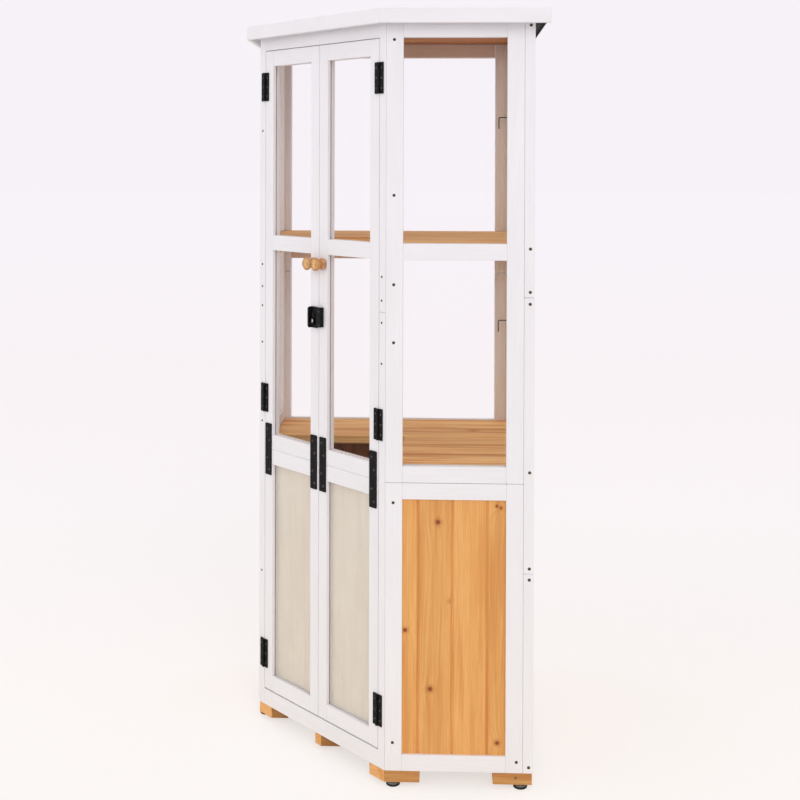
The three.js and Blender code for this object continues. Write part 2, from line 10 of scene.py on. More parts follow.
import bpy
import numpy as np
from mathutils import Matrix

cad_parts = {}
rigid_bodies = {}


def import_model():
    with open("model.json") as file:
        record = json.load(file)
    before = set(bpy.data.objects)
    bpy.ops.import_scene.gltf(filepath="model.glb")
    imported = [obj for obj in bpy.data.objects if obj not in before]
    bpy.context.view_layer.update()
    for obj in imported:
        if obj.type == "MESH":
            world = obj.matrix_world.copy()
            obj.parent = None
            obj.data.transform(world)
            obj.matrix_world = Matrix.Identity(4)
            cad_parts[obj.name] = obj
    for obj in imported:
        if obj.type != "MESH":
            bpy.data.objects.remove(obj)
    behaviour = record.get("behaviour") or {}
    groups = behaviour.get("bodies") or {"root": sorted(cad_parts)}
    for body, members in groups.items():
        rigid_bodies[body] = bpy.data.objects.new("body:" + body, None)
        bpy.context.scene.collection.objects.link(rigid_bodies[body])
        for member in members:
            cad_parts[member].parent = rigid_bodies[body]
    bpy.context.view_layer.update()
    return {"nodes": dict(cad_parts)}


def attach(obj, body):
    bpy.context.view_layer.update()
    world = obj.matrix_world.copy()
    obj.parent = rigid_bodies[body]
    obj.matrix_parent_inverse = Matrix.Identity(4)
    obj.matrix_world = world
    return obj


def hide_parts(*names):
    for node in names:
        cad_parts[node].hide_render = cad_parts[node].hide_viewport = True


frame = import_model()

# %% [markdown]
# ## The sizes that the lesson shares
# Joiners work in millimetres and Blender in metres. All sizes are written in millimetres and
# turned into metres in one place, where the points of a piece are stored.

# %% Sizes of the cabinet in millimetres
METRE = 1000.0
THICK = 21.0
DOOR_THICK = 20.0
SIDE = 304.0
STILE = 35.0
RAIL = 34.0
DOOR_STILE = 27.0
POST = 19.0
DOOR_GAP = 3.0
DOOR = 192.87
FRONT = 2 * POST + 2 * DOOR + 3 * DOOR_GAP
HALF = (SIDE + FRONT / np.sqrt(2)) / 2
CORNER = HALF - SIDE
BASE = 34.0
SECTION = 626.0
TOP = 1584.0
MID_RAIL = 1082.0
UPPER_SHELF = 1111.0
LOWER_SHELF = 632.0
GROOVE_FROM = 8.0
GROOVE_TO = 11.7
GROOVE_DEEP = 8.2
MITRE = np.tan(np.pi / 8)
GAP = 0.3  # between two pieces that bear on each other
SHELF_THICK = 20.0
BOARD_FRONT, BOARD_BACK = 5.3, 17.3  # depth of the wall boards' two faces
print("front width:", round(FRONT, 1), "half of a back wall:", round(HALF, 1))

# %% [markdown]
# ## Where each panel stands
# A panel is easiest to describe lying in its own plane: x along its width, y from its outer
# face inwards, and z up. A stand is the corner where that plane starts and its turn about
# the upright. The two sides, the two back walls and the front each have one.

# %% The five stands and the way into the room
STANDS = {
    "right_side": (CORNER, -HALF, 0.0),
    "left_side": (-HALF, HALF - THICK, -90.0),
    "right_back": (HALF, -HALF, 90.0),
    "left_back": (HALF - THICK, HALF, 180.0),
    "front": (-HALF, CORNER, -45.0),
    "room": (0.0, 0.0, 0.0),
}


def into_room(points, stand):
    """Turn the points about the upright by the stand's angle, then move them to its corner."""
    x0, y0, degrees = STANDS[stand]
    angle = np.radians(degrees)
    x, y, z = np.asarray(points, float).T
    return np.stack([
        x0 + x * np.cos(angle) - y * np.sin(angle),
        y0 + x * np.sin(angle) + y * np.cos(angle),
        z,
    ], 1)


print("front's left corner:", into_room([[0, 0, 0]], "front")[0].round(1))

# %% [markdown]
# ## The camera
# The photograph shows the right side square on, and the uprights don't lean together. So the
# camera stands at the height of the upper windows, level to within 0.4 degrees, and the frame is
# shifted down by 0.28 of its width to take in the floor. Its place was solved from the edges of
# the cabinet.

# %% Camera
camera_data = bpy.data.cameras.new("photo_camera")
camera_data.sensor_width = 36.0
camera_data.lens = 53.37
camera_data.shift_y = -0.28
camera = bpy.data.objects.new("photo_camera", camera_data)
camera.location = (0.1206, -2.7271, 1.2701)
camera.rotation_euler = (1.5642, -0.00299, 0.03754)
bpy.context.scene.collection.objects.link(camera)
bpy.context.scene.camera = camera
bpy.context.scene.view_settings.view_transform = "Standard"
print("camera at", [round(v, 2) for v in camera.location])


# %% [markdown]
# ## Small tools for node materials
# A material is a graph of nodes. Writing each link by hand takes many lines, so one helper
# makes a node, sets its sockets and links whatever is given as another node's output.

# %% Node helpers
def srgb(red, green, blue):
    """A paint shop's colour, 0 to 255, turned into the linear light that Blender adds up."""
    c = np.array([red, green, blue], float) / 255
    linear = np.where(c <= 0.04045, c / 12.92, ((c + 0.055) / 1.055) ** 2.4)
    return (*linear.tolist(), 1.0)


def node(tree, kind, inputs=None, **settings):
    """One node of a graph. A plain value is set on its socket, and a node's socket is linked."""
    made = tree.nodes.new("ShaderNode" + kind)
    for key, value in settings.items():
        setattr(made, key, value)
    for key, value in (inputs or {}).items():
        socket = made.inputs[key]
        if isinstance(value, bpy.types.NodeSocket):
            tree.links.new(value, socket)
        else:
            socket.default_value = value
    return made


def maths(tree, operation, a, b=0.0, c=0.0):
    """Arithmetic on one number."""
    return node(tree, "Math", {0: a, 1: b, 2: c}, operation=operation).outputs[0]


def vector_maths(tree, operation, a, b=(0, 0, 0)):
    """Arithmetic on three numbers at once."""
    return node(tree, "VectorMath", {0: a, 1: b}, operation=operation).outputs[0]


def ramp(tree, value, stops):
    """Colours laid out along the numbers from 0 to 1."""
    made = node(tree, "ValToRGB", {0: value})
    elements = made.color_ramp.elements
    for index, (place, colour) in enumerate(stops):
        element = elements[index] if index < 2 else elements.new(place)
        element.position = place
        element.color = colour
    return made.outputs[0]


def blend(tree, share, a, b, mode="MIX"):
    """Two colours mixed, or multiplied, by a share from 0 to 1."""
    made = node(tree, "Mix", data_type="RGBA", blend_type=mode)
    for key, value in ((0, share), (6, a), (7, b)):
        if isinstance(value, bpy.types.NodeSocket):
            tree.links.new(value, made.inputs[key])
        else:
            made.inputs[key].default_value = value
    return made.outputs[2]


def smooth(tree, value, low, high, out_low=0.0, out_high=1.0):
    """A soft step: out_low below low, out_high above high, and an easy curve between."""
    return node(tree, "MapRange", {0: value, 1: low, 2: high, 3: out_low, 4: out_high},
                interpolation_type="SMOOTHSTEP").outputs[0]


def noise(tree, vector, scale, detail=2.0, roughness=0.5, distortion=0.0):
    """Smooth random numbers from 0 to 1."""
    return node(tree, "TexNoise", {"Vector": vector, "Scale": scale, "Detail": detail,
                                   "Roughness": roughness, "Distortion": distortion}).outputs["Fac"]


def new_material(name):
    """An empty material with one Principled shader, returned with its tree."""
    material = bpy.data.materials.new(name)
    material.use_nodes = True
    tree = material.node_tree
    shader = tree.nodes["Principled BSDF"]
    return material, tree, shader


def relief(tree, shader, height, depth_mm, strength=1.0):
    """A height from 0 to 1 shades the surface as if it stood depth_mm high."""
    bump = node(tree, "Bump", {"Height": height, "Strength": strength,
                               "Distance": depth_mm / METRE})
    tree.links.new(bump.outputs[0], shader.inputs["Normal"])


print("linear value of a mid grey:", round(srgb(128, 128, 128)[0], 3))


# %% [markdown]
# ## Softwood
# Pine shows its growth rings. A board is a slice through a trunk, so its pattern follows from
# the distance to the trunk's middle: rings far apart where the cut lies flat, close together
# where it stands steep. Every timber here stores a point of its own trunk in the attribute
# called grain, with z along the fibres. The shader bends that space a little with noise,
# measures the distance to the middle line and paints late wood at every ring. Knots are
# branches: a dark disc that the rings flow round.

# %% The trunk's rings, fibres and knots
CLEAR_SHARE = 0.8  # the part of a trunk's cells that hold no random knot


def trunk(tree, knots=(), wander=0.010, ring_width=0.0042):
    """Returns ring, fibre, cloud, band and knot, each from 0 to 1, for a point in the trunk.
    ring is the fraction of distance over ring width, with uneven years. A knot is x, y, z and
    radius in millimetres on the cabinet, and adds a bell-shaped swell to the distance."""
    grain = node(tree, "Attribute", attribute_name="grain").outputs["Vector"]
    slow = vector_maths(tree, "MULTIPLY", grain, (1.0, 1.0, 0.22))
    bend = node(tree, "TexNoise", {"Vector": slow, "Scale": 7.0, "Detail": 2.0})
    bend = vector_maths(tree, "SUBTRACT", bend.outputs["Color"], (0.5, 0.5, 0.5))
    bend = vector_maths(tree, "MULTIPLY", bend, (wander * 2.6, wander * 2.6, 0.0))
    flat = vector_maths(tree, "MULTIPLY", vector_maths(tree, "ADD", grain, bend), (1.0, 1.0, 0.0))
    distance = node(tree, "VectorMath", {0: flat}, operation="LENGTH").outputs["Value"]
    knot = 0.0
    here = node(tree, "TexCoord").outputs["Object"]
    for x, y, z, radius in knots:
        offset = vector_maths(tree, "SUBTRACT", here, (x / METRE, y / METRE, z / METRE))
        away = node(tree, "VectorMath", {0: offset}, operation="LENGTH").outputs["Value"]
        away = maths(tree, "MULTIPLY", away, METRE / radius)
        wobble = noise(tree, here, 700.0, 2.0)
        away = maths(tree, "ADD", away, maths(tree, "MULTIPLY_ADD", wobble, 0.7, -0.35))
        fall = maths(tree, "POWER", maths(tree, "ABSOLUTE", away), 1.4)
        fall = maths(tree, "EXPONENT", maths(tree, "MULTIPLY", fall, -0.2))
        distance = maths(tree, "MULTIPLY_ADD", fall, 0.007, distance)
        core = smooth(tree, away, 0.45, 1.25, 0.7, 0.0)
        core = maths(tree, "ADD", core, smooth(tree, away, 0.8, 2.6, 0.3, 0.0))
        knot = maths(tree, "MAXIMUM", knot, core)
    cell = node(tree, "TexVoronoi", {"Vector": grain, "Scale": 9.0})
    chosen = node(tree, "SeparateColor", {0: cell.outputs["Color"]}).outputs[0]
    chosen = maths(tree, "GREATER_THAN", chosen, CLEAR_SHARE)
    near = cell.outputs["Distance"]
    core = smooth(tree, near, 0.018, 0.042, 0.7, 0.0)
    core = maths(tree, "ADD", core, smooth(tree, near, 0.03, 0.09, 0.3, 0.0))
    branch = maths(tree, "MULTIPLY", core, chosen)
    swell = maths(tree, "MULTIPLY", smooth(tree, near, 0.0, 0.2, 0.005, 0.0), chosen)
    distance = maths(tree, "ADD", distance, swell)
    knot = maths(tree, "MAXIMUM", knot, branch)
    years = node(tree, "TexNoise", {"W": distance, "Scale": 110.0, "Detail": 1.0},
                 noise_dimensions="1D").outputs["Fac"]
    count = maths(tree, "MULTIPLY_ADD", years, 2.6, maths(tree, "DIVIDE", distance, ring_width))
    ring = maths(tree, "FRACT", count)
    fine = vector_maths(tree, "MULTIPLY", grain, (1.0, 1.0, 0.016))
    fibre = noise(tree, fine, 900.0, 3.0, 0.65)
    cloud = noise(tree, slow, 22.0, 3.0, 0.55)
    band = noise(tree, vector_maths(tree, "MULTIPLY", grain, (1.0, 1.0, 0.05)), 62.0, 2.0, 0.5)
    return ring, fibre, cloud, band, knot


def softwood(name, light, middle, dark, knot_colour=(128, 58, 24), knots=(), ring_strength=0.55,
             fibre_strength=0.35, roughness=0.55, wander=0.010, end_shade=0.6, banding=0.38,
             ring_width=0.0042):
    """Oiled or stained pine: light early wood, a darker edge at each ring, fibres and knots.
    The attribute end is 1 where the cut goes across the fibres, and stain soaks in deeper there.
    On the foot blocks it also darkens the faces that look towards minus y: painted shade."""
    material, tree, shader = new_material(name)
    ring, fibre, cloud, band, knot = trunk(tree, knots, wander, ring_width)
    base = ramp(tree, cloud, [(0.28, srgb(*middle)), (0.72, srgb(*light))])
    deeper = smooth(tree, band, 0.46, 0.68, 0.0, 0.8)
    between = (1 - banding) * np.array(middle) + banding * np.array(dark)
    base = blend(tree, deeper, base, srgb(*between))
    late = ramp(tree, ring, [(0.0, (0, 0, 0, 1)), (0.55, (0.25, 0.25, 0.25, 1)),
                             (0.88, (1, 1, 1, 1)), (0.97, (0.15, 0.15, 0.15, 1))])
    late = maths(tree, "MULTIPLY", late, ring_strength)
    colour = blend(tree, late, base, srgb(*dark))
    streak = smooth(tree, fibre, 0.35, 0.72)
    colour = blend(tree, maths(tree, "MULTIPLY", streak, fibre_strength), colour, srgb(*dark))
    # tone lightens or darkens a whole piece: at random on most pieces, painted light on the shelves
    # and roof planks
    tone = node(tree, "Attribute", attribute_name="tone").outputs["Fac"]
    shade = ramp(tree, tone, [(0.0, (0.88, 0.85, 0.80, 1)), (1.0, (1.06, 1.06, 1.06, 1))])
    colour = blend(tree, 1.0, colour, shade, "MULTIPLY")
    colour = blend(tree, knot, colour, srgb(*knot_colour))
    end = node(tree, "Attribute", attribute_name="end").outputs["Fac"]
    stained_and_shaded = blend(tree, 1.0, colour, (end_shade, end_shade * 0.92, end_shade * 0.8, 1), "MULTIPLY")
    colour = blend(tree, end, colour, stained_and_shaded)
    tree.links.new(colour, shader.inputs["Base Color"])
    rough = node(tree, "MapRange", {0: fibre, 1: 0.3, 2: 0.7, 3: roughness - 0.08,
                                    4: roughness + 0.1})
    tree.links.new(rough.outputs[0], shader.inputs["Roughness"])
    shader.inputs["Specular IOR Level"].default_value = 0.25
    height = maths(tree, "MULTIPLY_ADD", streak, -0.5, maths(tree, "MULTIPLY", late, -0.35))
    relief(tree, shader, height, 0.25, 0.6)
    return material


SIDE_KNOTS = [(CORNER + x, BOARD_FRONT - HALF, z, radius) for x, z, radius in (
    (108.5, 545, 5.6), (93.2, 201.5, 5.6), (41.5, 322, 4.6), (229, 579.6, 3.2), (237.2, 575.6, 3.0),
    (230.8, 93.2, 4.8))]
print("knots drawn on the right side:", len(SIDE_KNOTS))

# %% [markdown]
# ## White paint
# The frames are planed pine under a light coat of white paint. The paint is even, but fibres still
# print through, and a brush leaves faint lines along each timber. The inner faces are warmer and
# darker: partly a thinner coat through which warm wood shows, partly painted shade and painted
# warm bounce from the wood inside. An attribute called inner goes from 0 for the full coat to 1
# for the full warm inner colour. What it has above 1 is the share of an orange brown that shows:
# partly bare wood, partly painted orange bounce under the roof.

# %% Painted timber
def painted_timber(name="white_paint"):
    """White over faint fibres outside, and inside a warmer, darker colour over streaky wood: partly
    a thinner coat, partly painted shade.
    """
    material, tree, shader = new_material(name)
    ring, fibre, cloud, _, knot = trunk(tree, (), 0.012)
    white = ramp(tree, cloud, [(0.25, srgb(238, 235, 237)), (0.75, srgb(244, 241, 244))])
    streak = smooth(tree, fibre, 0.42, 0.75)
    outside = blend(tree, maths(tree, "MULTIPLY", streak, 0.35), white, srgb(226, 222, 222))
    outside = blend(tree, maths(tree, "MULTIPLY", ring, 0.06), outside, srgb(222, 214, 205))
    outside = blend(tree, maths(tree, "MULTIPLY", knot, 0.10), outside, srgb(214, 190, 150))
    # the inner colour: a thinner coat over warm wood, together with painted shade and painted warm
    # bounce
    wash_and_shade = ramp(tree, cloud, [(0.25, srgb(210, 193, 178)), (0.75, srgb(222, 208, 196))])
    wash_and_shade = blend(tree, maths(tree, "MULTIPLY", streak, 0.45), wash_and_shade, srgb(190, 156, 130))
    wash_and_shade = blend(tree, maths(tree, "MULTIPLY", ring, 0.25), wash_and_shade, srgb(186, 162, 142))
    inner = node(tree, "Attribute", attribute_name="inner").outputs["Fac"]
    colour = blend(tree, maths(tree, "MINIMUM", inner, 1.0), outside, wash_and_shade)
    # the share above 1 mixes in orange brown: partly bare wood, partly painted orange bounce under
    # the roof
    colour = blend(tree, maths(tree, "MAXIMUM", maths(tree, "SUBTRACT", inner, 1.0), 0.0), colour,
                   srgb(200, 130, 70))
    tree.links.new(colour, shader.inputs["Base Color"])
    grain = node(tree, "Attribute", attribute_name="grain").outputs["Vector"]
    brushed = vector_maths(tree, "MULTIPLY", grain, (1.0, 1.0, 0.05))
    lines = noise(tree, brushed, 420.0, 2.0, 0.6)
    rough = node(tree, "MapRange", {0: lines, 1: 0.3, 2: 0.7, 3: 0.45, 4: 0.6})
    tree.links.new(rough.outputs[0], shader.inputs["Roughness"])
    shader.inputs["Specular IOR Level"].default_value = 0.35
    height = maths(tree, "MULTIPLY_ADD", streak, -0.5, lines)
    relief(tree, shader, height, 0.12, 0.5)
    return material


WHITE = painted_timber()
BOARDS = softwood("stained_boards", (245, 189, 118), (234, 170, 100), (202, 133, 70),
                  knot_colour=(146, 74, 36), knots=SIDE_KNOTS, ring_strength=0.33,
                  fibre_strength=0.4, roughness=0.5)
SHELF_PINE = softwood("shelf_pine", (255, 216, 150), (252, 196, 128), (196, 126, 70),
                      ring_strength=0.6, fibre_strength=0.36, roughness=0.75, wander=0.006,
                      banding=0.75, ring_width=0.011)
ROOF_PINE = softwood("roof_boards", (214, 146, 86), (194, 122, 66), (130, 76, 38),
                     ring_strength=0.6, fibre_strength=0.5, roughness=0.75, banding=0.7,
                     ring_width=0.008)
BLOCK_PINE = softwood("block_pine", (255, 206, 140), (244, 178, 108), (206, 132, 70),
                      ring_strength=0.6, fibre_strength=0.5, end_shade=0.5)
print("wood finishes:", [m.name for m in (WHITE, BOARDS, SHELF_PINE, ROOF_PINE, BLOCK_PINE)])


# %% [markdown]
# ## Steel, plastic, felt, plywood and clear sheet
# The fittings are black coated steel: dark, a little glossy, with a fine orange-peel texture and
# small light flecks, partly chips in the coat and partly painted glints. The clear sheet is thin
# acrylic, so light goes straight through it. The felt on the roof is bitumen with crushed slate.

# %% Other finishes
def black_steel(name="black_steel", glint_at=None):
    """Near-black coat with fine pimples and a slow change of gloss. Round a given point, in
    metres, a small light patch is painted: a painted highlight."""
    material, tree, shader = new_material(name)
    here = node(tree, "TexCoord").outputs["Object"]
    patch = noise(tree, here, 60.0, 3.0)
    colour = ramp(tree, patch, [(0.3, srgb(15, 14, 15)), (0.75, srgb(26, 25, 25))])
    # light flecks: partly chips in the coat, partly painted glints
    chips_and_glints = smooth(tree, noise(tree, here, 520.0, 4.0, 0.7), 0.62, 0.70, 0.0, 0.5)
    colour = blend(tree, chips_and_glints, colour, srgb(118, 116, 112))
    # painted highlight: a light patch round one point stands for a glint
    if glint_at:
        offset = vector_maths(tree, "SUBTRACT", here, glint_at)
        offset = vector_maths(tree, "MULTIPLY", offset, (1.0, 1.0, 0.45))
        away = node(tree, "VectorMath", {0: offset}, operation="LENGTH").outputs["Value"]
        away = maths(tree, "MULTIPLY_ADD", noise(tree, here, 900.0, 2.0), 0.0012, away)
        painted_glint = smooth(tree, away, 0.0014, 0.0032, 1.0, 0.0)
        colour = blend(tree, painted_glint, colour, srgb(222, 220, 214))
    tree.links.new(colour, shader.inputs["Base Color"])
    rough = node(tree, "MapRange", {0: patch, 1: 0.3, 2: 0.7, 3: 0.30, 4: 0.5})
    tree.links.new(rough.outputs[0], shader.inputs["Roughness"])
    shader.inputs["Specular IOR Level"].default_value = 0.10
    relief(tree, shader, noise(tree, here, 900.0, 1.0), 0.12, 0.6)
    return material


def zinc(name, colour_low, colour_high, metallic=0.9, roughness=0.38, specular=0.5):
    """Plated metal with a cloudy tone."""
    material, tree, shader = new_material(name)
    here = node(tree, "TexCoord").outputs["Object"]
    patch = noise(tree, here, 240.0, 3.0)
    tree.links.new(ramp(tree, patch, [(0.3, srgb(*colour_low)), (0.7, srgb(*colour_high))]),
                   shader.inputs["Base Color"])
    shader.inputs["Metallic"].default_value = metallic
    shader.inputs["Specular IOR Level"].default_value = specular
    rough = node(tree, "MapRange", {0: patch, 1: 0.3, 2: 0.7, 3: roughness - 0.08,
                                    4: roughness + 0.1})
    tree.links.new(rough.outputs[0], shader.inputs["Roughness"])
    return material


def moulded_plastic(name="black_plastic"):
    """Black plastic with a fine matt grain."""
    material, tree, shader = new_material(name)
    here = node(tree, "TexCoord").outputs["Object"]
    patch = noise(tree, here, 120.0, 3.0)
    tree.links.new(ramp(tree, patch, [(0.3, srgb(20, 20, 21)), (0.75, srgb(38, 38, 39))]),
                   shader.inputs["Base Color"])
    shader.inputs["Roughness"].default_value = 0.5
    shader.inputs["Specular IOR Level"].default_value = 0.25
    relief(tree, shader, noise(tree, here, 2500.0, 1.0), 0.05, 0.4)
    return material


def roofing_felt(name="roofing_felt"):
    """Dark green-grey bitumen with crushed slate: specks of two tones on a grainy relief."""
    material, tree, shader = new_material(name)
    here = node(tree, "TexCoord").outputs["Object"]
    speck = node(tree, "TexVoronoi", {"Vector": here, "Scale": 620.0}).outputs["Color"]
    grey = node(tree, "SeparateColor", {0: speck}).outputs[0]
    colour = ramp(tree, grey, [(0.0, srgb(26, 29, 28)), (0.55, srgb(44, 48, 46)),
                               (0.85, srgb(64, 70, 66)), (1.0, srgb(100, 106, 100))])
    cloud = noise(tree, here, 9.0, 4.0)
    worn = ramp(tree, cloud, [(0.3, (0.75, 0.78, 0.76, 1)), (0.75, (1.15, 1.15, 1.15, 1))])
    tree.links.new(blend(tree, 1.0, colour, worn, "MULTIPLY"), shader.inputs["Base Color"])
    shader.inputs["Roughness"].default_value = 0.92
    relief(tree, shader, grey, 0.5, 0.8)
    return material


def plywood(name="plywood"):
    """Pale rotary-cut veneer: soft upright streaks, faint flames and blurred knots."""
    material, tree, shader = new_material(name)
    here = node(tree, "TexCoord").outputs["Object"]
    turned = vector_maths(tree, "MULTIPLY", here, (1.0, 1.0, 0.07))
    streak = noise(tree, turned, 60.0, 4.0, 0.6, 0.4)
    fine = noise(tree, vector_maths(tree, "MULTIPLY", here, (1.0, 1.0, 0.03)), 500.0, 2.0)
    colour = ramp(tree, streak, [(0.3, srgb(232, 218, 198)), (0.7, srgb(246, 236, 222))])
    colour = blend(tree, maths(tree, "MULTIPLY", smooth(tree, fine, 0.45, 0.8), 0.3), colour,
                   srgb(214, 192, 164))
    stretched = vector_maths(tree, "MULTIPLY", here, (7.0, 7.0, 4.5))
    cell = node(tree, "TexVoronoi", {"Vector": stretched, "Scale": 1.0}).outputs["Distance"]
    colour = blend(tree, smooth(tree, cell, 0.0, 0.10, 0.55, 0.0), colour, srgb(170, 132, 98))
    tree.links.new(colour, shader.inputs["Base Color"])
    shader.inputs["Roughness"].default_value = 0.6
    relief(tree, shader, fine, 0.1, 0.4)
    return material


def clear_sheet(name, haze=0.0, haze_colour=(240, 236, 230)):
    """Thin acrylic: a faint mirror over a clear rest. The mirror's strength is a small number
    plus half the fifth power of one minus the cosine of the viewing angle. A hazy sheet also
    scatters a share of the light. Smudges change how sharp the mirror is."""
    material, tree, shader = new_material(name)
    shader.inputs["Base Color"].default_value = srgb(255, 255, 255)
    shader.inputs["Metallic"].default_value = 1.0
    smudge = noise(tree, node(tree, "TexCoord").outputs["Object"], 14.0, 4.0)
    rough = node(tree, "MapRange", {0: smudge, 1: 0.35, 2: 0.8, 3: 0.015, 4: 0.07})
    tree.links.new(rough.outputs[0], shader.inputs["Roughness"])
    edge_on = node(tree, "LayerWeight", {0: 0.5}).outputs["Facing"]
    mirror = maths(tree, "MULTIPLY_ADD", maths(tree, "POWER", edge_on, 5.0), 0.5, 0.006)
    through = node(tree, "BsdfTransparent", {0: (1.0, 1.0, 1.0, 1.0)})
    result = node(tree, "MixShader", {0: mirror, 1: through.outputs[0], 2: shader.outputs[0]})
    if haze:
        mist = node(tree, "BsdfDiffuse", {0: srgb(*haze_colour)})
        cloudy = node(tree, "MapRange", {0: smudge, 1: 0.3, 2: 0.8, 3: haze * 0.85, 4: haze * 1.15})
        result = node(tree, "MixShader", {0: cloudy.outputs[0], 1: result.outputs[0],
                                          2: mist.outputs[0]})
    tree.links.new(result.outputs[0], tree.nodes["Material Output"].inputs[0])
    return material


STEEL = black_steel()
SCREW = zinc("screw_head", (62, 52, 38), (104, 92, 70), 0.0, 0.7, 0.1)
DARK_SCREW = zinc("dark_screw", (40, 39, 38), (92, 90, 86), 0.3, 0.45, 0.3)
COLLAR = zinc("foot_collar", (84, 83, 80), (122, 120, 116), 0.3, 0.5, 0.3)
PLASTIC = moulded_plastic()
FELT = roofing_felt()
PLY = plywood()
SHEET = clear_sheet("clear_sheet")
HAZY = clear_sheet("hazy_sheet", 0.22)
KNOB_WOOD = softwood("knob_wood", (255, 218, 162), (252, 190, 132), (220, 142, 86),
                     ring_strength=0.5, fibre_strength=0.4, roughness=0.4, wander=0.004)
print("finishes:", len(bpy.data.materials))


# %% [markdown]
# ## Timbers
# A planed timber is an outline carried in a straight line. Its long edges are never sharp: a
# plane or sandpaper takes them off, and that narrow arris catches the light. The outline's
# corners are cut round, and at both ends the outline first steps in by the arris.

# %% Outlines
def turning(corners):
    """The corners listed anticlockwise: the signed area is half the sum of cross products."""
    corners = np.asarray(corners, float)
    following = np.roll(corners, -1, 0)
    area = (corners[:, 0] * following[:, 1] - corners[:, 1] * following[:, 0]).sum() / 2
    return corners if area > 0 else corners[::-1]


def step_in(corners, distance):
    """Each edge moved inwards by a distance. A corner moves along the sum of its two inward
    normals, divided by one plus their dot product."""
    along = np.roll(corners, -1, 0) - corners
    along /= np.linalg.norm(along, axis=1, keepdims=True)
    normal = np.stack([-along[:, 1], along[:, 0]], 1)
    before = np.roll(normal, 1, 0)
    both = normal + before
    return corners + distance * both / (1 + (normal * before).sum(1))[:, None]


def cut_round(corners, cut, steps=2):
    """Each corner becomes a small parabola that starts and ends cut away from the corner."""
    back = np.roll(corners, 1, 0) - corners
    ahead = np.roll(corners, -1, 0) - corners
    room_back = np.linalg.norm(back, axis=1, keepdims=True)
    room_ahead = np.linalg.norm(ahead, axis=1, keepdims=True)
    reach = np.minimum(cut, 0.4 * np.minimum(room_back, room_ahead))
    first = corners + back / room_back * reach
    last = corners + ahead / room_ahead * reach
    s = np.linspace(0, 1, steps + 1)[None, :, None]
    curve = (1 - s) ** 2 * first[:, None] + 2 * s * (1 - s) * corners[:, None]
    curve = curve + s**2 * last[:, None]
    return curve.reshape(-1, 2)


def cut_line(corners, nx, ny, limit):
    """The part of an outline where nx * x + ny * y is at least limit."""
    height = corners @ np.array([nx, ny], float) - limit
    following = np.roll(corners, -1, 0)
    height_after = np.roll(height, -1)
    with np.errstate(divide="ignore", invalid="ignore"):
        share = (height / (height - height_after))[:, None]
        crossing = corners + share * (following - corners)
    keep = height >= 0
    crosses = keep != (height_after >= 0)
    both = np.stack([corners, crossing], 1).reshape(-1, 2)
    return both[np.stack([keep, crosses], 1).ravel()]


def rectangle(x0, y0, x1, y1):
    """Four corners."""
    return np.array([[x0, y0], [x1, y0], [x1, y1], [x0, y1]], float)


print("arris test:", cut_round(rectangle(0, 0, 20, 10), 1).shape)


# %% [markdown]
# ## From an outline to a piece
# A timber could be a cube with a bevel modifier. Written as rings of points it is as quick, its
# arris is exact, and every timber stores its own grain as it is made. A piece gathers timbers
# into one mesh that rides on one body.

# %% Timbers and the pieces that they make up
chance = np.random.default_rng(7)
CARRY_ORDER = {2: (0, 1, 2), 0: (2, 0, 1), 1: (1, 2, 0)}
FIBRES_LAST = {2: (0, 1, 2), 0: (1, 2, 0), 1: (2, 0, 1)}
ARRIS_WIDE = 1.5  # a face narrower than this is an arris
END_SPAN = 2.0  # a face that spans less of the fibres than this is an end
# the slot's faces get a fifth of the warm inner colour: partly unpainted wood, partly painted shade
# for the slot's dark line
GROOVE_WASH_AND_SHADE = 0.2


def gather(*groups):
    """Faces as two arrays: all corner numbers in a row, and how many corners each face has."""
    groups = [np.atleast_2d(group) for group in groups]
    corners = np.concatenate([group.ravel() for group in groups])
    return corners, np.concatenate([np.full(len(group), group.shape[1]) for group in groups])


def ring_quads(around, rings):
    """Quads between neighbouring rings: each takes points i and i + 1 of one ring and the next."""
    i = np.arange(around)
    j = np.roll(i, -1)
    one = np.stack([i, j, j + around, i + around], 1)
    return (one[None] + around * np.arange(rings - 1)[:, None, None]).reshape(-1, 4)


def carried(outline, axis, low, high, arris, steps=2):
    """Rings of the rounded outline at low, low plus arris, high minus arris and high. The
    first and the last ring are stepped in by the arris. axis 2 stands the outline's x, y on z;
    axis 0 takes y, z along x; axis 1 takes z, x along y."""
    corners = turning(outline)
    full = cut_round(corners, arris, steps)
    ends = cut_round(step_in(corners, arris * 0.6), arris, steps)
    rings = np.stack([ends, full, full, ends])
    heights = np.array([low, low + arris, high - arris, high])
    heights = np.broadcast_to(heights[:, None, None], (4, len(full), 1))
    points = np.concatenate([rings, heights], 2).reshape(-1, 3)
    points = points[:, CARRY_ORDER[axis]]
    i = np.arange(len(full))
    return points, gather(ring_quads(len(full), 4), i[::-1], i + 3 * len(full))


def make_mesh(name, points_mm, faces, smooth_faces):
    """A mesh from points in millimetres and faces as gathered."""
    corners, sizes = faces
    mesh = bpy.data.meshes.new(name)
    mesh.vertices.add(len(points_mm))
    mesh.vertices.foreach_set("co", (points_mm / METRE).astype(np.float32).ravel())
    mesh.loops.add(len(corners))
    mesh.loops.foreach_set("vertex_index", corners.astype(np.int32))
    mesh.polygons.add(len(sizes))
    mesh.polygons.foreach_set("loop_start", (np.cumsum(sizes) - sizes).astype(np.int32))
    mesh.polygons.foreach_set("use_smooth", smooth_faces)
    mesh.update(calc_edges=True)
    mesh.validate()
    return mesh


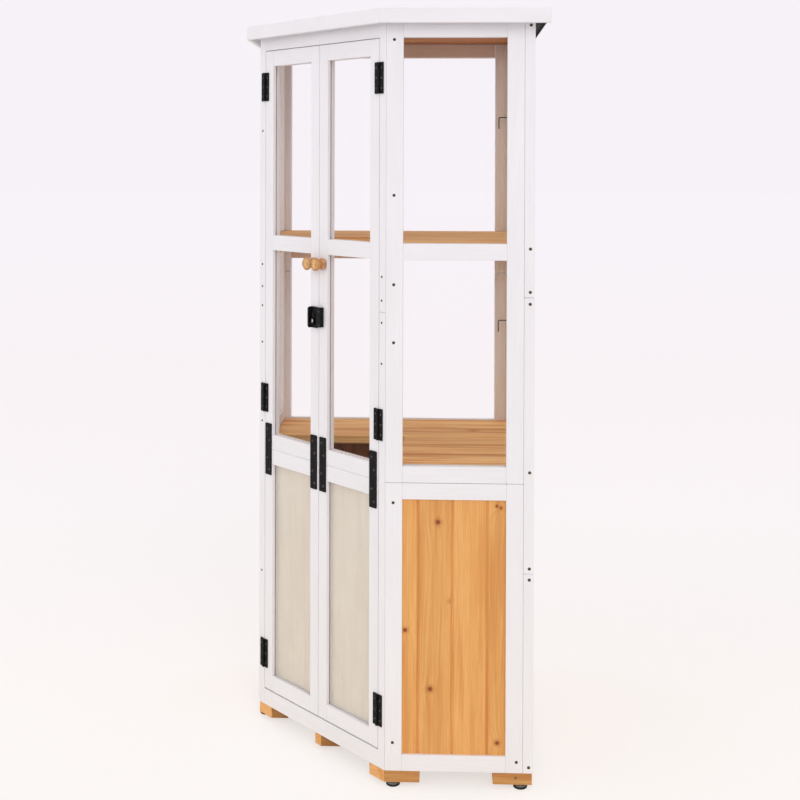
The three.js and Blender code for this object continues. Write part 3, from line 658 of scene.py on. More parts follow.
class Piece:
    """A mesh that grows timber by timber, then becomes one object."""

    def __init__(self, name, stand="room"):
        self.name, self.stand, self.count = name, stand, 0
        self.points, self.grain, self.tone = [], [], []
        self.corners, self.sizes, self.smooth, self.inner, self.end = [], [], [], [], []

    def add(self, points, faces, along=2, inner_from=None, smooth_faces=False, tone=None, wash_and_shade=1.0):
        """Takes points in the panel's own millimetres. The grain attribute is the same points
        with the fibre direction last, moved to a random place in a trunk. A face is inner where
        all of it lies behind inner_from and it is no arris, or where it lies in the groove of
        the sheet. It is an end where it spans under 2 mm of the fibres."""
        points = np.asarray(points, float)
        corners, sizes = faces
        starts = np.cumsum(sizes) - sizes
        pith = np.array([chance.uniform(-70, 70), chance.uniform(25, 95), chance.uniform(0, 4000)])
        self.grain.append((points - points.mean(0))[:, FIBRES_LAST[along]] + pith)
        self.tone.append(np.full(len(points), chance.uniform(0, 1) if tone is None else tone))
        low = np.minimum.reduceat(points[corners], starts)
        high = np.maximum.reduceat(points[corners], starts)
        span = high - low
        inner = np.zeros(len(sizes))
        if inner_from is not None:
            arris_face = np.partition(span, 1, 1)[:, 1] < ARRIS_WIDE
            inner[(low[:, 1] > inner_from) & ~arris_face] = wash_and_shade
            in_groove = (low[:, 1] > GROOVE_FROM - 0.1) & (high[:, 1] < GROOVE_TO + 0.1)
            inner[in_groove] = GROOVE_WASH_AND_SHADE
        self.inner.append(inner)
        self.end.append((span[:, along] < END_SPAN) * 1.0)
        self.points.append(into_room(points, self.stand))
        self.corners.append(corners + self.count)
        self.sizes.append(sizes)
        self.smooth.append(np.full(len(sizes), smooth_faces))
        self.count += len(points)

    def timber(self, outline, axis, low, high, arris=1.2, along=None, inner_from=None, tone=None,
               wash_and_shade=1.0):
        """One planed timber. Its fibres run the way it is carried, unless along says another."""
        points, faces = carried(outline, axis, low, high, arris)
        self.add(points, faces, axis if along is None else along, inner_from, tone=tone, wash_and_shade=wash_and_shade)

    def finish(self, body, materials, slot, replaces=()):
        """Makes the mesh with its attributes and finish, and lets the object ride on a body."""
        faces = np.concatenate(self.corners), np.concatenate(self.sizes)
        mesh = make_mesh(self.name, np.concatenate(self.points), faces, np.concatenate(self.smooth))
        for key, kind, domain, values in (
                ("grain", "FLOAT_VECTOR", "POINT", np.concatenate(self.grain) / METRE),
                ("tone", "FLOAT", "POINT", np.concatenate(self.tone)),
                ("inner", "FLOAT", "FACE", np.concatenate(self.inner)),
                ("end", "FLOAT", "FACE", np.concatenate(self.end))):
            attribute = mesh.attributes.new(key, kind, domain)
            attribute.data.foreach_set("vector" if kind == "FLOAT_VECTOR" else "value",
                                       values.astype(np.float32).ravel())
        made = bpy.data.objects.new(self.name, mesh)
        bpy.context.scene.collection.objects.link(made)
        for material in materials:
            mesh.materials.append(material)
        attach(made, body)
        if replaces:
            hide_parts(*replaces)


print("timber test faces:", len(carried(rectangle(0, 0, 35, 21), 2, 0, 500, 1.2)[1][1]))


# %% [markdown]
# ## Frames
# A frame is two upright stiles with rails between them. Each timber is its own box with its
# own grain, so the joints show as fine grooves. On the window side a stile has the slot that
# holds the clear sheet; seen at a slant, that slot is the dark line beside the sheet.

# %% Stiles, rails and frames
JOINT = 0.35


def stile_outline(x0, x1, thick, groove_left, groove_right, mitre=0):
    """A stile seen from above. mitre is -1 where its left end meets a neighbour at an angle,
    and 1 where its right end does: that end slopes by the mitre's tangent."""
    left_back = x0 + (thick * MITRE if mitre < 0 else 0)
    right_back = x1 - (thick * MITRE if mitre > 0 else 0)
    corners = [(x0, 0), (x1, 0)]
    if groove_right:
        corners += [(x1, GROOVE_FROM), (x1 - GROOVE_DEEP, GROOVE_FROM),
                    (x1 - GROOVE_DEEP, GROOVE_TO), (x1, GROOVE_TO)]
    corners += [(right_back, thick), (left_back, thick)]
    if groove_left:
        corners += [(x0, GROOVE_TO), (x0 + GROOVE_DEEP, GROOVE_TO),
                    (x0 + GROOVE_DEEP, GROOVE_FROM), (x0, GROOVE_FROM)]
    return corners


def rail_outline(low, high, thick, groove_below, groove_above):
    """A rail seen from its end, as depth and height, with a groove towards each window."""
    corners = [(0, low)]
    if groove_below:
        corners += [(GROOVE_FROM, low), (GROOVE_FROM, low + GROOVE_DEEP),
                    (GROOVE_TO, low + GROOVE_DEEP), (GROOVE_TO, low)]
    corners += [(thick, low), (thick, high)]
    if groove_above:
        corners += [(GROOVE_TO, high), (GROOVE_TO, high - GROOVE_DEEP),
                    (GROOVE_FROM, high - GROOVE_DEEP), (GROOVE_FROM, high)]
    return corners + [(0, high)]


def frame_piece(name, stand, x0, x1, z0, z1, thick, stile, rails, mitre=(0, 0), splits=((), ()),
                wash_and_shade=(1.0, 1.0, 1.0)):
    """Two stiles and the rails between them. splits are heights where a stile is joined end to
    end. rails are (low, high, groove below, groove above). wash_and_shade gives the share of the
    warm inner colour on the inner face of the first stile, the second stile and the rails: partly a
    thinner coat, partly painted shade."""
    piece = Piece(name, stand)
    inner_from = GROOVE_TO - 0.4
    first = stile_outline(x0, x0 + stile, thick, False, True, mitre[0])
    second = stile_outline(x1 - stile, x1, thick, True, False, mitre[1])
    for outline, heights, coat_and_shade in ((first, splits[0], wash_and_shade[0]), (second, splits[1], wash_and_shade[1])):
        lows, highs = [z0, *np.add(heights, JOINT)], [*np.subtract(heights, JOINT), z1]
        for low, high in zip(lows, highs):
            piece.timber(outline, 2, low, high, 0.9, inner_from=inner_from, wash_and_shade=coat_and_shade)
    for low, high, below, above in rails:
        piece.timber(rail_outline(low, high, thick, below, above), 0, x0 + stile + 0.1,
                     x1 - stile - 0.1, 0.9, inner_from=inner_from, wash_and_shade=wash_and_shade[2])
    return piece


SECTION_GAP = 0.5  # what shows between the upper and the lower section
SIDE_HEAD = 46.0
panel = SIDE - THICK
side_windows = [(SECTION + GAP, SECTION + RAIL, False, True),
                (MID_RAIL, MID_RAIL + RAIL, True, True),
                (TOP - SIDE_HEAD, TOP, True, False)]
side_boards = [(BASE + GAP, BASE + RAIL, False, True),
               (SECTION - RAIL, SECTION - SECTION_GAP, True, False)]
sides = (("right", (-1, 0), 0.2, panel - GAP), ("left", (0, 1), GAP, panel - 0.2))
for side, mitre, x0, x1 in sides:
    stand = side + "_side"
    for part, z0, z1, rails in (("_upper_frame", SECTION + GAP, TOP, side_windows),
                                ("_lower_frame", BASE + GAP, SECTION - SECTION_GAP, side_boards)):
        # the sides' inner faces take half the warm inner colour and their rails more: partly a
        # thinner coat, partly painted shade
        piece = frame_piece(stand + part + "_timbers", stand, x0, x1, z0, z1, THICK, STILE, rails,
                            mitre, wash_and_shade=(0.5, 0.5, 0.8))
        piece.finish("cabinet", [WHITE], "white_paint", [stand + part])

BACK_RAIL_DROP = 17.0  # below the underside of the upper shelf
BACK_SPLITS = (442.6, 1006.6)
back_rail_top = UPPER_SHELF - SHELF_THICK - BACK_RAIL_DROP
back_rails = [(BASE + GAP, BASE + RAIL, False, True),
              (LOWER_SHELF - RAIL, LOWER_SHELF, True, True),
              (back_rail_top - RAIL, back_rail_top, True, True),
              (TOP - RAIL, TOP, True, False)]
for side, x0, x1 in (("right", 0.0, 2 * HALF), ("left", GAP, 2 * HALF - THICK)):
    # Painted light on the back walls' inner faces: the left wall's stile at the far left corner
    # stays white, where light reaches it; the other stiles take the full warm inner colour, partly
    # a thinner coat and partly painted shade; the rails add painted orange bounce under the roof.
    wash_and_shade = (1.0, 1.0, 1.25) if side == "right" else (1.0, 0.0, 1.25)
    piece = frame_piece(side + "_back_frame_timbers", side + "_back", x0, x1, BASE + GAP, TOP,
                        THICK, STILE, back_rails, (0, 0), (BACK_SPLITS, BACK_SPLITS), wash_and_shade)
    piece.finish("cabinet", [WHITE], "white_paint", [side + "_back_frame"])

# %% [markdown]
# ## The fixed frame of the doors
# Two narrow posts meet the sides at a mitre. Head and sill run between them, and behind the
# doors a strip all round is what they close against. The right post is joined end to end once.

# %% Door frame
LIP = DOOR_THICK + 0.5
LIP_BACK = LIP + 10.0
LIP_REACH = 8.0
POST_JOINT = 974.0
SNUG = 0.8  # how much closer than their solids the edges of doors, posts and head stand
# behind the lip, the posts, head and sill take 0.7 of the warm inner colour: partly a thinner coat,
# partly painted shade
front_frame = Piece("front_frame_timbers", "front")
for end, way, joints in ((0.16, 1, ()), (FRONT - 0.16, -1, (POST_JOINT,))):
    face = end + way * (POST + SNUG - 0.2)
    lip = end + way * (POST + LIP_REACH)
    plan = [(end, 0), (face, 0), (face, LIP), (lip, LIP), (lip, LIP_BACK),
            (end + way * LIP_BACK * MITRE, LIP_BACK)]
    lows, highs = [BASE + GAP, *np.add(joints, JOINT)], [*np.subtract(joints, JOINT), TOP]
    for low, high in zip(lows, highs):
        front_frame.timber(plan, 2, low, high, 0.8, inner_from=LIP - 1, wash_and_shade=0.7)
HEAD = TOP - 45.0
SILL = BASE + 36.0
head_end = [(0, HEAD - SNUG), (LIP, HEAD - SNUG), (LIP, HEAD - LIP_REACH),
            (LIP_BACK, HEAD - LIP_REACH), (LIP_BACK, TOP), (0, TOP)]
sill_end = [(0, BASE + GAP), (LIP_BACK, BASE + GAP), (LIP_BACK, SILL + LIP_REACH),
            (LIP, SILL + LIP_REACH), (LIP, SILL), (0, SILL)]
for outline in (head_end, sill_end):
    front_frame.timber(outline, 0, POST + SNUG, FRONT - POST - SNUG, 0.8, inner_from=LIP - 1,
                       wash_and_shade=0.7)
front_frame.finish("cabinet", [WHITE], "white_paint", ["front_frame"])
print("door frame head and sill at", HEAD, SILL)

# %% [markdown]
# ## The doors
# Each door is two frames, one above the other, joined by black plates. The lower one holds a
# pale plywood panel with laths round it, and a slightly hazy sheet in front of it.

# %% Door frames and their hazy sheets
DOOR_LOW = SILL + DOOR_GAP
DOOR_HIGH = HEAD - DOOR_GAP
DOOR_TOP = DOOR_HIGH + SNUG
LOWER_THICK = 15.6
LATH_FROM = 15.7
LATH_WIDE, LATH_TALL = 17.8, 24.8
# the doors' inner faces and back laths take a third of the warm inner colour: partly a thinner
# coat, partly painted shade
door_wash_and_shade = (0.35, 0.35, 0.35)
door_windows = [(SECTION + GAP, SECTION + RAIL, False, True),
                (MID_RAIL, MID_RAIL + RAIL, True, True),
                (DOOR_HIGH - RAIL, DOOR_TOP, True, False)]
door_panels = [(DOOR_LOW, DOOR_LOW + RAIL, False, True), (SECTION - RAIL, SECTION, True, False)]
DOORS = {"left": POST + DOOR_GAP, "right": POST + 2 * DOOR_GAP + DOOR}
for side, x0 in DOORS.items():
    x1 = x0 + DOOR
    body = side + "_door"
    edges = (x0 - SNUG, x1 + SNUG)
    upper = frame_piece(body + "_upper_timbers", "front", *edges, SECTION + GAP, DOOR_TOP,
                        DOOR_THICK, DOOR_STILE + SNUG, door_windows, wash_and_shade=door_wash_and_shade)
    upper.finish(body, [WHITE], "white_paint", [body + "_upper_frame"])
    lower = frame_piece(body + "_lower_timbers", "front", *edges, DOOR_LOW, SECTION,
                        LOWER_THICK, DOOR_STILE + SNUG, door_panels, wash_and_shade=door_wash_and_shade)
    lower.finish(body, [WHITE], "white_paint", [body + "_lower_frame"])
    veneer = Piece(body + "_plywood", "front")
    veneer.timber(rectangle(x0 + 18, DOOR_THICK - 4, x1 - 18, DOOR_THICK), 2, DOOR_LOW + 25,
                  SECTION - 25, 0.3)
    veneer.finish(body, [PLY], "plywood", [body + "_lower_panel"])
    rim = Piece(body + "_back_laths", "front")
    for low, high in ((x0 - SNUG, x0 + LATH_WIDE), (x1 - LATH_WIDE, x1 + SNUG)):
        rim.timber(rectangle(low, LATH_FROM, high, DOOR_THICK), 2, DOOR_LOW, SECTION, 0.6,
                   inner_from=16, wash_and_shade=door_wash_and_shade[0])
    for low, high in ((DOOR_LOW, DOOR_LOW + LATH_TALL), (SECTION - LATH_TALL, SECTION)):
        rim.timber(rectangle(LATH_FROM, low, DOOR_THICK, high), 0, x0 + LATH_WIDE + 0.1,
                   x1 - LATH_WIDE - 0.1, 0.6, inner_from=16, wash_and_shade=door_wash_and_shade[0])
    rim.finish(body, [WHITE], "white_paint")
    haze = Piece(body + "_hazy_sheet", "front")
    haze.timber(rectangle(x0 + 20, 9.9, x1 - 20, 11.3), 2, DOOR_LOW + 27, SECTION - 27, 0.2)
    haze.finish(body, [HAZY], "clear_sheet")
print("doors:", {k: round(v, 1) for k, v in DOORS.items()})

# %% [markdown]
# ## Tongued and grooved boards
# The lower walls are upright boards. Both long edges have a bevel, and the tongue of the next
# board shows between them, so every joint is a narrow dark slot between two sloping faces.

# %% Wall boards
BOARD_PITCH = 70.6
BEVEL = 3.2
SLOT = 1.0
TONGUE_IN = 3.6  # from the board's faces to its tongue


def board_outline(x0, x1, y0, y1, tongue):
    """A board seen from above: bevelled corners, and a tongue that reaches under its neighbour."""
    a, b = x0 + SLOT, x1 - SLOT
    corners = [(a, y0 + BEVEL), (a + BEVEL, y0), (b - BEVEL, y0), (b, y0 + BEVEL), (b, y1 - BEVEL),
               (b - BEVEL, y1), (a + BEVEL, y1), (a, y1 - BEVEL)]
    if tongue:
        corners += [(a, y1 - TONGUE_IN), (a - 2 * SLOT, y1 - TONGUE_IN),
                    (a - 2 * SLOT, y0 + TONGUE_IN), (a, y0 + TONGUE_IN)]
    return corners


def wall_boards(name, stand, x0, x1, z0, z1, joints, tones=()):
    """Boards from x0 to x1 with their edges at the joints. tones, where given, has one for each."""
    piece = Piece(name + "_planks", stand)
    edges = [x0, *joints, x1]
    for index, (low, high) in enumerate(zip(edges[:-1], edges[1:])):
        tone = tones[index] if tones else None
        outline = board_outline(low, high, BOARD_FRONT, BOARD_BACK, index > 0)
        piece.timber(outline, 2, z0, z1, 0.5, tone=tone)
    piece.finish("cabinet", [BOARDS], "stained_boards", [name])


lap = 5.7  # how far the boards reach past the frame's inner edges
left, right = STILE, panel - STILE
first = BOARD_PITCH * 0.47
side_joints = left + first + BOARD_PITCH * np.arange(3)
wall_boards("right_side_boards", "right_side", left - lap, right + lap, BASE + RAIL - lap,
            SECTION - RAIL + lap, side_joints, (0.75, 0.4, 0.8, 0.35))
wall_boards("left_side_boards", "left_side", left - lap, right + lap, BASE + RAIL - lap,
            SECTION - RAIL + lap, panel - side_joints[::-1])
for side, x0, x1 in (("right", 0.0, 2 * HALF), ("left", GAP, 2 * HALF - THICK)):
    joints = np.arange(x0 + STILE + BOARD_PITCH / 2, x1 - STILE + lap - 3, BOARD_PITCH)
    wall_boards(side + "_back_boards", side + "_back", x0 + STILE - lap, x1 - STILE + lap,
                BASE + RAIL - lap, LOWER_SHELF - RAIL + lap, joints)
print("side board joints:", side_joints.round(1))

# %% [markdown]
# ## Shelves, floor and battens
# Six boards make a shelf. The rear ones run from wall to wall; the front ones are short, so
# that tall plants stand behind the doors. A batten under each end carries them.

# %% Shelves
INSIDE = HALF - THICK - GAP
SHORT_FROM = 26.0  # where the short boards start, on the diagonal's line
SHELF_WIDTH = 2 * INSIDE / 6
BATTEN = 20.0
# Painted light: the two front boards of a shelf, nearest the doors, get the lightest tone and the
# boards behind them darker ones.
SHELF_PAINTED_LIGHT = (0.6, 0.4, 0.25, 0.5, 0.9, 1.0)


def shelf_piece(name, top, full):
    """Boards along x with a hair of room between them, cut along the diagonal behind the doors."""
    piece = Piece(name + "_boards")
    for index in range(6):
        y1 = INSIDE - index * SHELF_WIDTH - 0.6
        y0 = y1 - SHELF_WIDTH + 1.2
        x0 = -INSIDE if index < full else SHORT_FROM
        outline = cut_line(rectangle(x0, y0, INSIDE, y1), 1, 1, SHORT_FROM - INSIDE)
        piece.timber(outline, 2, top - SHELF_THICK, top, 1.6, along=0, tone=SHELF_PAINTED_LIGHT[index])
    ends = ((INSIDE - BATTEN, INSIDE, -INSIDE),
            (-INSIDE, BATTEN - INSIDE, INSIDE - full * SHELF_WIDTH))
    for low, high, start in ends:
        outline = cut_line(rectangle(low, start, high, INSIDE), 1, 1, SHORT_FROM - INSIDE)
        piece.timber(outline, 2, top - SHELF_THICK - BATTEN, top - SHELF_THICK - 0.2, 1.0, along=1)
    piece.finish("cabinet", [SHELF_PINE], "shelf_pine", [name])


shelf_piece("upper_shelf", UPPER_SHELF, 3)
shelf_piece("lower_shelf", LOWER_SHELF, 2)
floor_boards = Piece("floor_panel_boards")
frame_depth = LIP_BACK + GAP
near = CORNER + frame_depth * MITRE + frame_depth - THICK - GAP
for index in range(6):
    y1 = INSIDE - index * SHELF_WIDTH - 0.35
    outline = cut_line(rectangle(-INSIDE, y1 - SHELF_WIDTH + 0.7, INSIDE, y1), 1, 1, near - INSIDE)
    floor_boards.timber(outline, 2, BASE + GAP, BASE + GAP + 15, 0.8, along=0)
floor_boards.finish("cabinet", [SHELF_PINE], "shelf_pine", ["floor_panel"])
print("shelf board width:", round(SHELF_WIDTH, 1))

# %% [markdown]
# ## Roof
# Planks lie on the walls, felt covers them and is folded round the two edges at the back, and
# a white fascia with mitred corners hides the other three edges.

# %% Roof planks, felt and fascia
OVERHANG = 30.0
FASCIA_THICK = 10.0
FASCIA_LOW, FASCIA_HIGH = TOP - 20, TOP + 10
PLANK_TOP = TOP + 9.4


def plan(front, back):
    """The cabinet's outline from above, moved out by front at the sides and doors and by back
    at the two walls."""
    near = CORNER - front * MITRE
    out, behind = -HALF - front, HALF + back
    return np.array([[near, out], [behind, out], [behind, behind], [out, behind], [out, near]])


deck_plan = plan(0.4, OVERHANG - 1.8)
planks = Piece("roof_planks")
plank_edges = np.linspace(-HALF, HALF + OVERHANG, 8)
# Painted shade: the planks towards the back wall get darker tones, the last one the darkest, where
# less light reaches the roof's underside.
for index, (low, high) in enumerate(zip(plank_edges[:-1], plank_edges[1:])):
    outline = cut_line(cut_line(deck_plan, 0, 1, low + 0.3), 0, -1, 0.3 - high)
    planks.timber(outline, 2, TOP + GAP, PLANK_TOP, 0.8, along=0, tone=min(1.0, 2 - index / 3))
planks.finish("cabinet", [ROOF_PINE], "shelf_pine")
trim = OVERHANG - FASCIA_THICK - GAP
inner_line, outer_line = plan(0.8, OVERHANG - 1.8), plan(trim, OVERHANG - 1.8)
soffit = Piece("roof_soffit")
for a, b, along in ((0, 1, 0), (4, 0, 0), (3, 4, 1)):
    soffit.timber([outer_line[a], outer_line[b], inner_line[b], inner_line[a]], 2, TOP + GAP,
                  PLANK_TOP, 0.6, along=along)
soffit.finish("cabinet", [WHITE], "white_paint")
felt = Piece("roof_felt")
felt.timber(plan(trim, OVERHANG - 2.2), 2, TOP + 9.6, TOP + 10.4, 0.2)
felt.timber(plan(trim - 16, OVERHANG - 2.2), 2, TOP + 10.5, TOP + 12.2, 0.7)
edge = HALF + OVERHANG
fold = [(edge, TOP - 7), (edge, TOP + 12.3), (edge - 30, TOP + 12.3), (edge - 30, TOP + 10.9),
        (edge - 1.7, TOP + 10.9), (edge - 1.7, TOP + 0.1), (HALF + 0.8, TOP + 0.1),
        (HALF + 0.8, TOP - 1.6), (edge - 3, TOP - 1.6), (edge - 2, TOP - 7)]
start = -HALF - OVERHANG + FASCIA_THICK + GAP
flat = [(u, z - (1.9 if z > TOP + 10 else 0)) for u, z in fold]
for low, high, profile in ((start, start + 16, flat), (start + 16.1, edge, fold)):
    felt.timber([(z, x) for x, z in profile], 1, low, high, 0.3)
    felt.timber([(y, z) for y, z in profile], 0, low, min(high, edge - 1.8), 0.3)
felt.finish("cabinet", [FELT], "roofing_felt", ["roof_deck"])
outer, inside = plan(OVERHANG, OVERHANG), plan(OVERHANG - FASCIA_THICK, OVERHANG)
fascia = Piece("roof_fascia_boards")
for a, b, along in ((0, 1, 0), (4, 0, 0), (3, 4, 1)):
    fascia.timber([outer[a], outer[b], inside[b], inside[a]], 2, FASCIA_LOW, FASCIA_HIGH, 1.2,
                  along=along)
fascia.finish("cabinet", [WHITE], "white_paint", ["roof_fascia"])
print("roof edge at", round(edge, 1))


# %% [markdown]
# ## Turned pieces
# Knobs, feet, hinge barrels and screw heads are round. A turned piece is a profile of radius
# and height swept once round its axis: x is radius times cosine, y is radius times sine.

# %% Turning a profile
def turned(profile, segments=40):
    """Rings of the profile at equal angles. A profile that starts or ends on the axis is closed
    with a fan; the fan's middle is one point."""
    profile = np.asarray(profile, float)
    angle = np.linspace(0, 2 * np.pi, segments, endpoint=False)
    body = profile[1:-1]
    rings = np.stack([
        body[:, :1] * np.cos(angle), body[:, :1] * np.sin(angle),
        np.broadcast_to(body[:, 1:], (len(body), segments)),
    ], 2).reshape(-1, 3)
    points = np.concatenate([rings, [[0, 0, profile[0, 1]], [0, 0, profile[-1, 1]]]])
    i = np.arange(segments)
    j = np.roll(i, -1)
    last = (len(body) - 1) * segments
    low_fan = np.stack([np.full(segments, len(rings)), j, i], 1)
    high_fan = np.stack([np.full(segments, len(rings) + 1), i + last, j + last], 1)
    return points, gather(ring_quads(segments, len(body)), low_fan, high_fan)


def towards_viewer(points):
    """A piece turned about z laid so that its top points out of the panel, to minus y."""
    x, y, z = points.T
    return np.stack([x, -z, y], 1)


def rounded_profile(profile, steps=5):
    """A profile whose inner corners are softened by the same parabola as a timber's."""
    corners = np.asarray(profile, float)
    soft = cut_round(corners, 1.2, steps).reshape(len(corners), -1, 2)
    return np.concatenate([corners[:1], soft[1:-1].reshape(-1, 2), corners[-1:]])


KNOB_HEIGHT = 1062.0
knob_profile = [(0, 0), (9.0, 0), (12.2, 2.4), (12.8, 5.4), (9.4, 8.4), (6.4, 11.0), (6.8, 14.2),
                (11.4, 17.6), (14.2, 19.8), (14.6, 22.0), (13.6, 24.2), (10.5, 25.9), (6, 26.8),
                (0, 27)]
for side, x in (("left", DOORS["left"] + DOOR - DOOR_STILE / 2),
                ("right", DOORS["right"] + DOOR_STILE / 2)):
    points, faces = turned(rounded_profile(knob_profile, 3), 48)
    points = towards_viewer(points) + np.array([x, -GAP, KNOB_HEIGHT])
    knob = Piece(side + "_door_knob_turned", "front")
    knob.add(points, faces, along=2, smooth_faces=True, tone=0.7)
    knob.finish(side + "_door", [KNOB_WOOD], "knob_wood", [side + "_door_knob"])
print("knob points:", len(points))


# %% [markdown]
# ## Screws
# A countersunk screw head lies in the surface. Its face is a disc of rings and spokes whose
# depth follows two crossed slots: the product form makes the slots end before the rim.

# %% Screw heads
def screw_head(radius=3.1, rings=7, spokes=24, deep=0.4):
    """Height over a disc: a low dome, 0.45 times one minus the square of the distance, less deep
    times a soft cross. The cross is full where the smaller coordinate is under 0.084 of the
    radius, is gone at 0.224, and ends between 0.54 and 0.66 of the radius from the middle."""
    r = np.linspace(0.12, 1, rings)[:, None]
    angle = np.linspace(0, 2 * np.pi, spokes, endpoint=False)[None, :]
    x, y = r * np.cos(angle), r * np.sin(angle)
    near = np.clip(1.6 - np.minimum(np.abs(x), np.abs(y)) / 0.14, 0, 1)
    cross = near * np.clip((0.66 - r) / 0.12, 0, 1)
    z = -deep * cross + 0.45 * (1 - r**2)
    top = np.stack([x * radius, y * radius, np.broadcast_to(z, x.shape)], 2)
    skirt = np.stack([x[-1] * radius * 0.8, y[-1] * radius * 0.8, np.full(spokes, -1.6)], 1)
    points = np.concatenate([top.reshape(-1, 3), skirt, [[0, 0, 0.45 - deep], [0, 0, -1.6]]])
    i = np.arange(spokes)
    j = np.roll(i, -1)
    rim = rings * spokes
    middle_fan = np.stack([np.full(spokes, len(points) - 2), i, j], 1)
    under_fan = np.stack([np.full(spokes, len(points) - 1), j + rim, i + rim], 1)
    return points, gather(ring_quads(spokes, rings + 1)[:, ::-1], middle_fan, under_fan)


def put_screws(name, stand, body, places, radius, material, proud=0.05):
    """Screw heads at the places (x, z, y) of a panel, each turned by a random angle. y is the depth
    of the face that the head lies in, and the rim stands proud of it."""
    piece = Piece(name, stand)
    for x, z, y in places:
        points, faces = screw_head(radius)
        turn = chance.uniform(0, np.pi)
        px, py, pz = points.T
        points = np.stack([px * np.cos(turn) - py * np.sin(turn),
                           px * np.sin(turn) + py * np.cos(turn), pz], 1)
        points = towards_viewer(points) + np.array([x, y - proud, z])
        piece.add(points, faces, tone=0.5)
    piece.finish(body, [material], "black_steel")


side_screws = [(16.5, z, 0.0) for z in (1532.8, 1214.6, 1031.6, 912.8, 584.9, 92.2)]
side_screws += [(270.0, 56.9, 0.0)]
put_screws("right_side_screws", "right_side", "cabinet", side_screws, 3.2, SCREW)
put_screws("right_block_screw", "right_side", "cabinet", [(269.0, 24.0, 2.0)], 2.2, SCREW)
put_screws("left_side_screws", "left_side", "cabinet",
           [(panel - x, z, y) for x, z, y in side_screws], 3.2, SCREW)
edge_heights = (1562, 1106, 1017.8, 993.5, 649.7, 453.2, 430.6, 46.5)
put_screws("right_edge_screws", "right_side", "cabinet",
           [(panel + 12.0, z, 0.0) for z in edge_heights], 3.3, SCREW)
put_screws("left_edge_screws", "left_back", "cabinet",
           [(2 * HALF - THICK - 12.5, z, 0.0) for z in edge_heights], 3.3, SCREW)
put_screws("right_post_screws", "front", "cabinet",
           [(FRONT - 12, z, 0.0) for z in (1046.7, 998, 952.3, 868.1)], 2.5, SCREW)
put_screws("left_post_screws", "front", "cabinet",
           [(9.5, z, 0.0) for z in (1355, 1048, 997, 953, 868.7, 687, 341)], 2.6, SCREW)
print("screw heads placed:", sum("screw" in o.name for o in bpy.data.objects), "groups")


# %% [markdown]
# ## Hinges and plates
# A butt hinge is two flat leaves whose rolled edges take turns round one pin. The leaf is a
# rounded outline carried through its thickness, and each knuckle is a short turned barrel.

# %% Hinges
def flat_plate(piece, x0, z0, x1, z1, y0, y1, corner=1.5):
    """A sheet-metal plate with round corners and a softened rim."""
    outline = cut_round(turning(rectangle(z0, x0, z1, x1)), corner, 4)
    points, faces = carried(outline, 1, y0, y1, 0.35, 1)
    piece.add(points, faces, tone=0.5)


def barrel(piece, x, y, low, high, radius, segments=28):
    """A short cylinder with rounded ends."""
    soft = 0.5
    profile = [(0, low), (radius - soft, low), (radius, low + soft), (radius, high - soft),
               (radius - soft, high), (0, high)]
    points, faces = turned(profile, segments)
    piece.add(points + np.array([x, y, 0]), faces, smooth_faces=True, tone=0.5)


HINGE_TALL, HINGE_REACH, PIN_OUT = 65.0, 13.2, 3.3
HINGE_IN = 48.0  # from a door's end to its outer hinges
hinge_heights = {"bottom": DOOR_LOW + HINGE_IN, "middle": SECTION + 84,
                 "top": DOOR_HIGH - HINGE_IN - HINGE_TALL}
pitch = HINGE_TALL / 5
pins = (("left", POST + DOOR_GAP / 2, -1), ("right", FRONT - POST - DOOR_GAP / 2, 1))
for side, pin_x, outwards in pins:
    for place, z in hinge_heights.items():
        for leaf, way, first, body in (("frame_leaf", outwards, 0, "cabinet"),
                                       ("door_leaf", -outwards, 1, side + "_door")):
            name = f"{side}_hinge_{place}_{leaf}"
            piece = Piece(name + "_steel", "front")
            root, tip = sorted((pin_x + way * 3.2, pin_x + way * HINGE_REACH))
            flat_plate(piece, root, z, tip, z + HINGE_TALL, -2.3, -0.3)
            for k in range(first, 5, 2):
                low, high = z + k * pitch + 0.15, z + (k + 1) * pitch - 0.15
                barrel(piece, pin_x, -PIN_OUT, low, high, 3.0)
                a, b = sorted((pin_x, pin_x + way * 5.0))
                piece.timber(rectangle(a, -2.3, b, -0.45), 2, low, high, 0.3, tone=0.5)
            piece.finish(body, [STEEL], "black_steel", [name])
            middle = pin_x + way * 8.4
            holes = [(middle, z + h, -2.3) for h in (11.5, 32.5, 53.5)]
            put_screws(name + "_screws", "front", body, holes, 2.3, DARK_SCREW, 0.02)
print("hinges:", 2 * len(hinge_heights))

# %% [markdown]
# ## Mending plates
# Four flat plates with round corners hold the upper and the lower door frames together. They are
# made by the same function as a hinge leaf, since both are cut from the same sheet.

# %% Mending plates
PLATE_TALL, PLATE_WIDE = 118.0, 22.0
for side, hinge_edge, way in (("left", DOORS["left"], 1), ("right", DOORS["right"] + DOOR, -1)):
    meeting_edge = hinge_edge + way * DOOR
    for place, x in (("hinge", hinge_edge + way * 14), ("meeting", meeting_edge - way * 14)):
        name = f"{side}_door_{place}_plate"
        piece = Piece(name + "_steel", "front")
        middle = SECTION + GAP / 2
        flat_plate(piece, x - PLATE_WIDE / 2, middle - PLATE_TALL / 2, x + PLATE_WIDE / 2,
                   middle + PLATE_TALL / 2, -2.3, -0.3, 2.5)
        piece.finish(side + "_door", [STEEL], "black_steel", [name])
        holes = [(x + 3.5 * (-1) ** k, middle + h, -2.3) for k, h in enumerate((-46, -20, 20, 46))]
        put_screws(name + "_screws", "front", side + "_door", holes, 2.6, DARK_SCREW, 0.02)


# %% [markdown]
# ## Latch
# The latch is pressed and cast steel. Its solids already have the right form, so each copy
# only needs its doubled points merged and its sharp edges bevelled to catch the light.

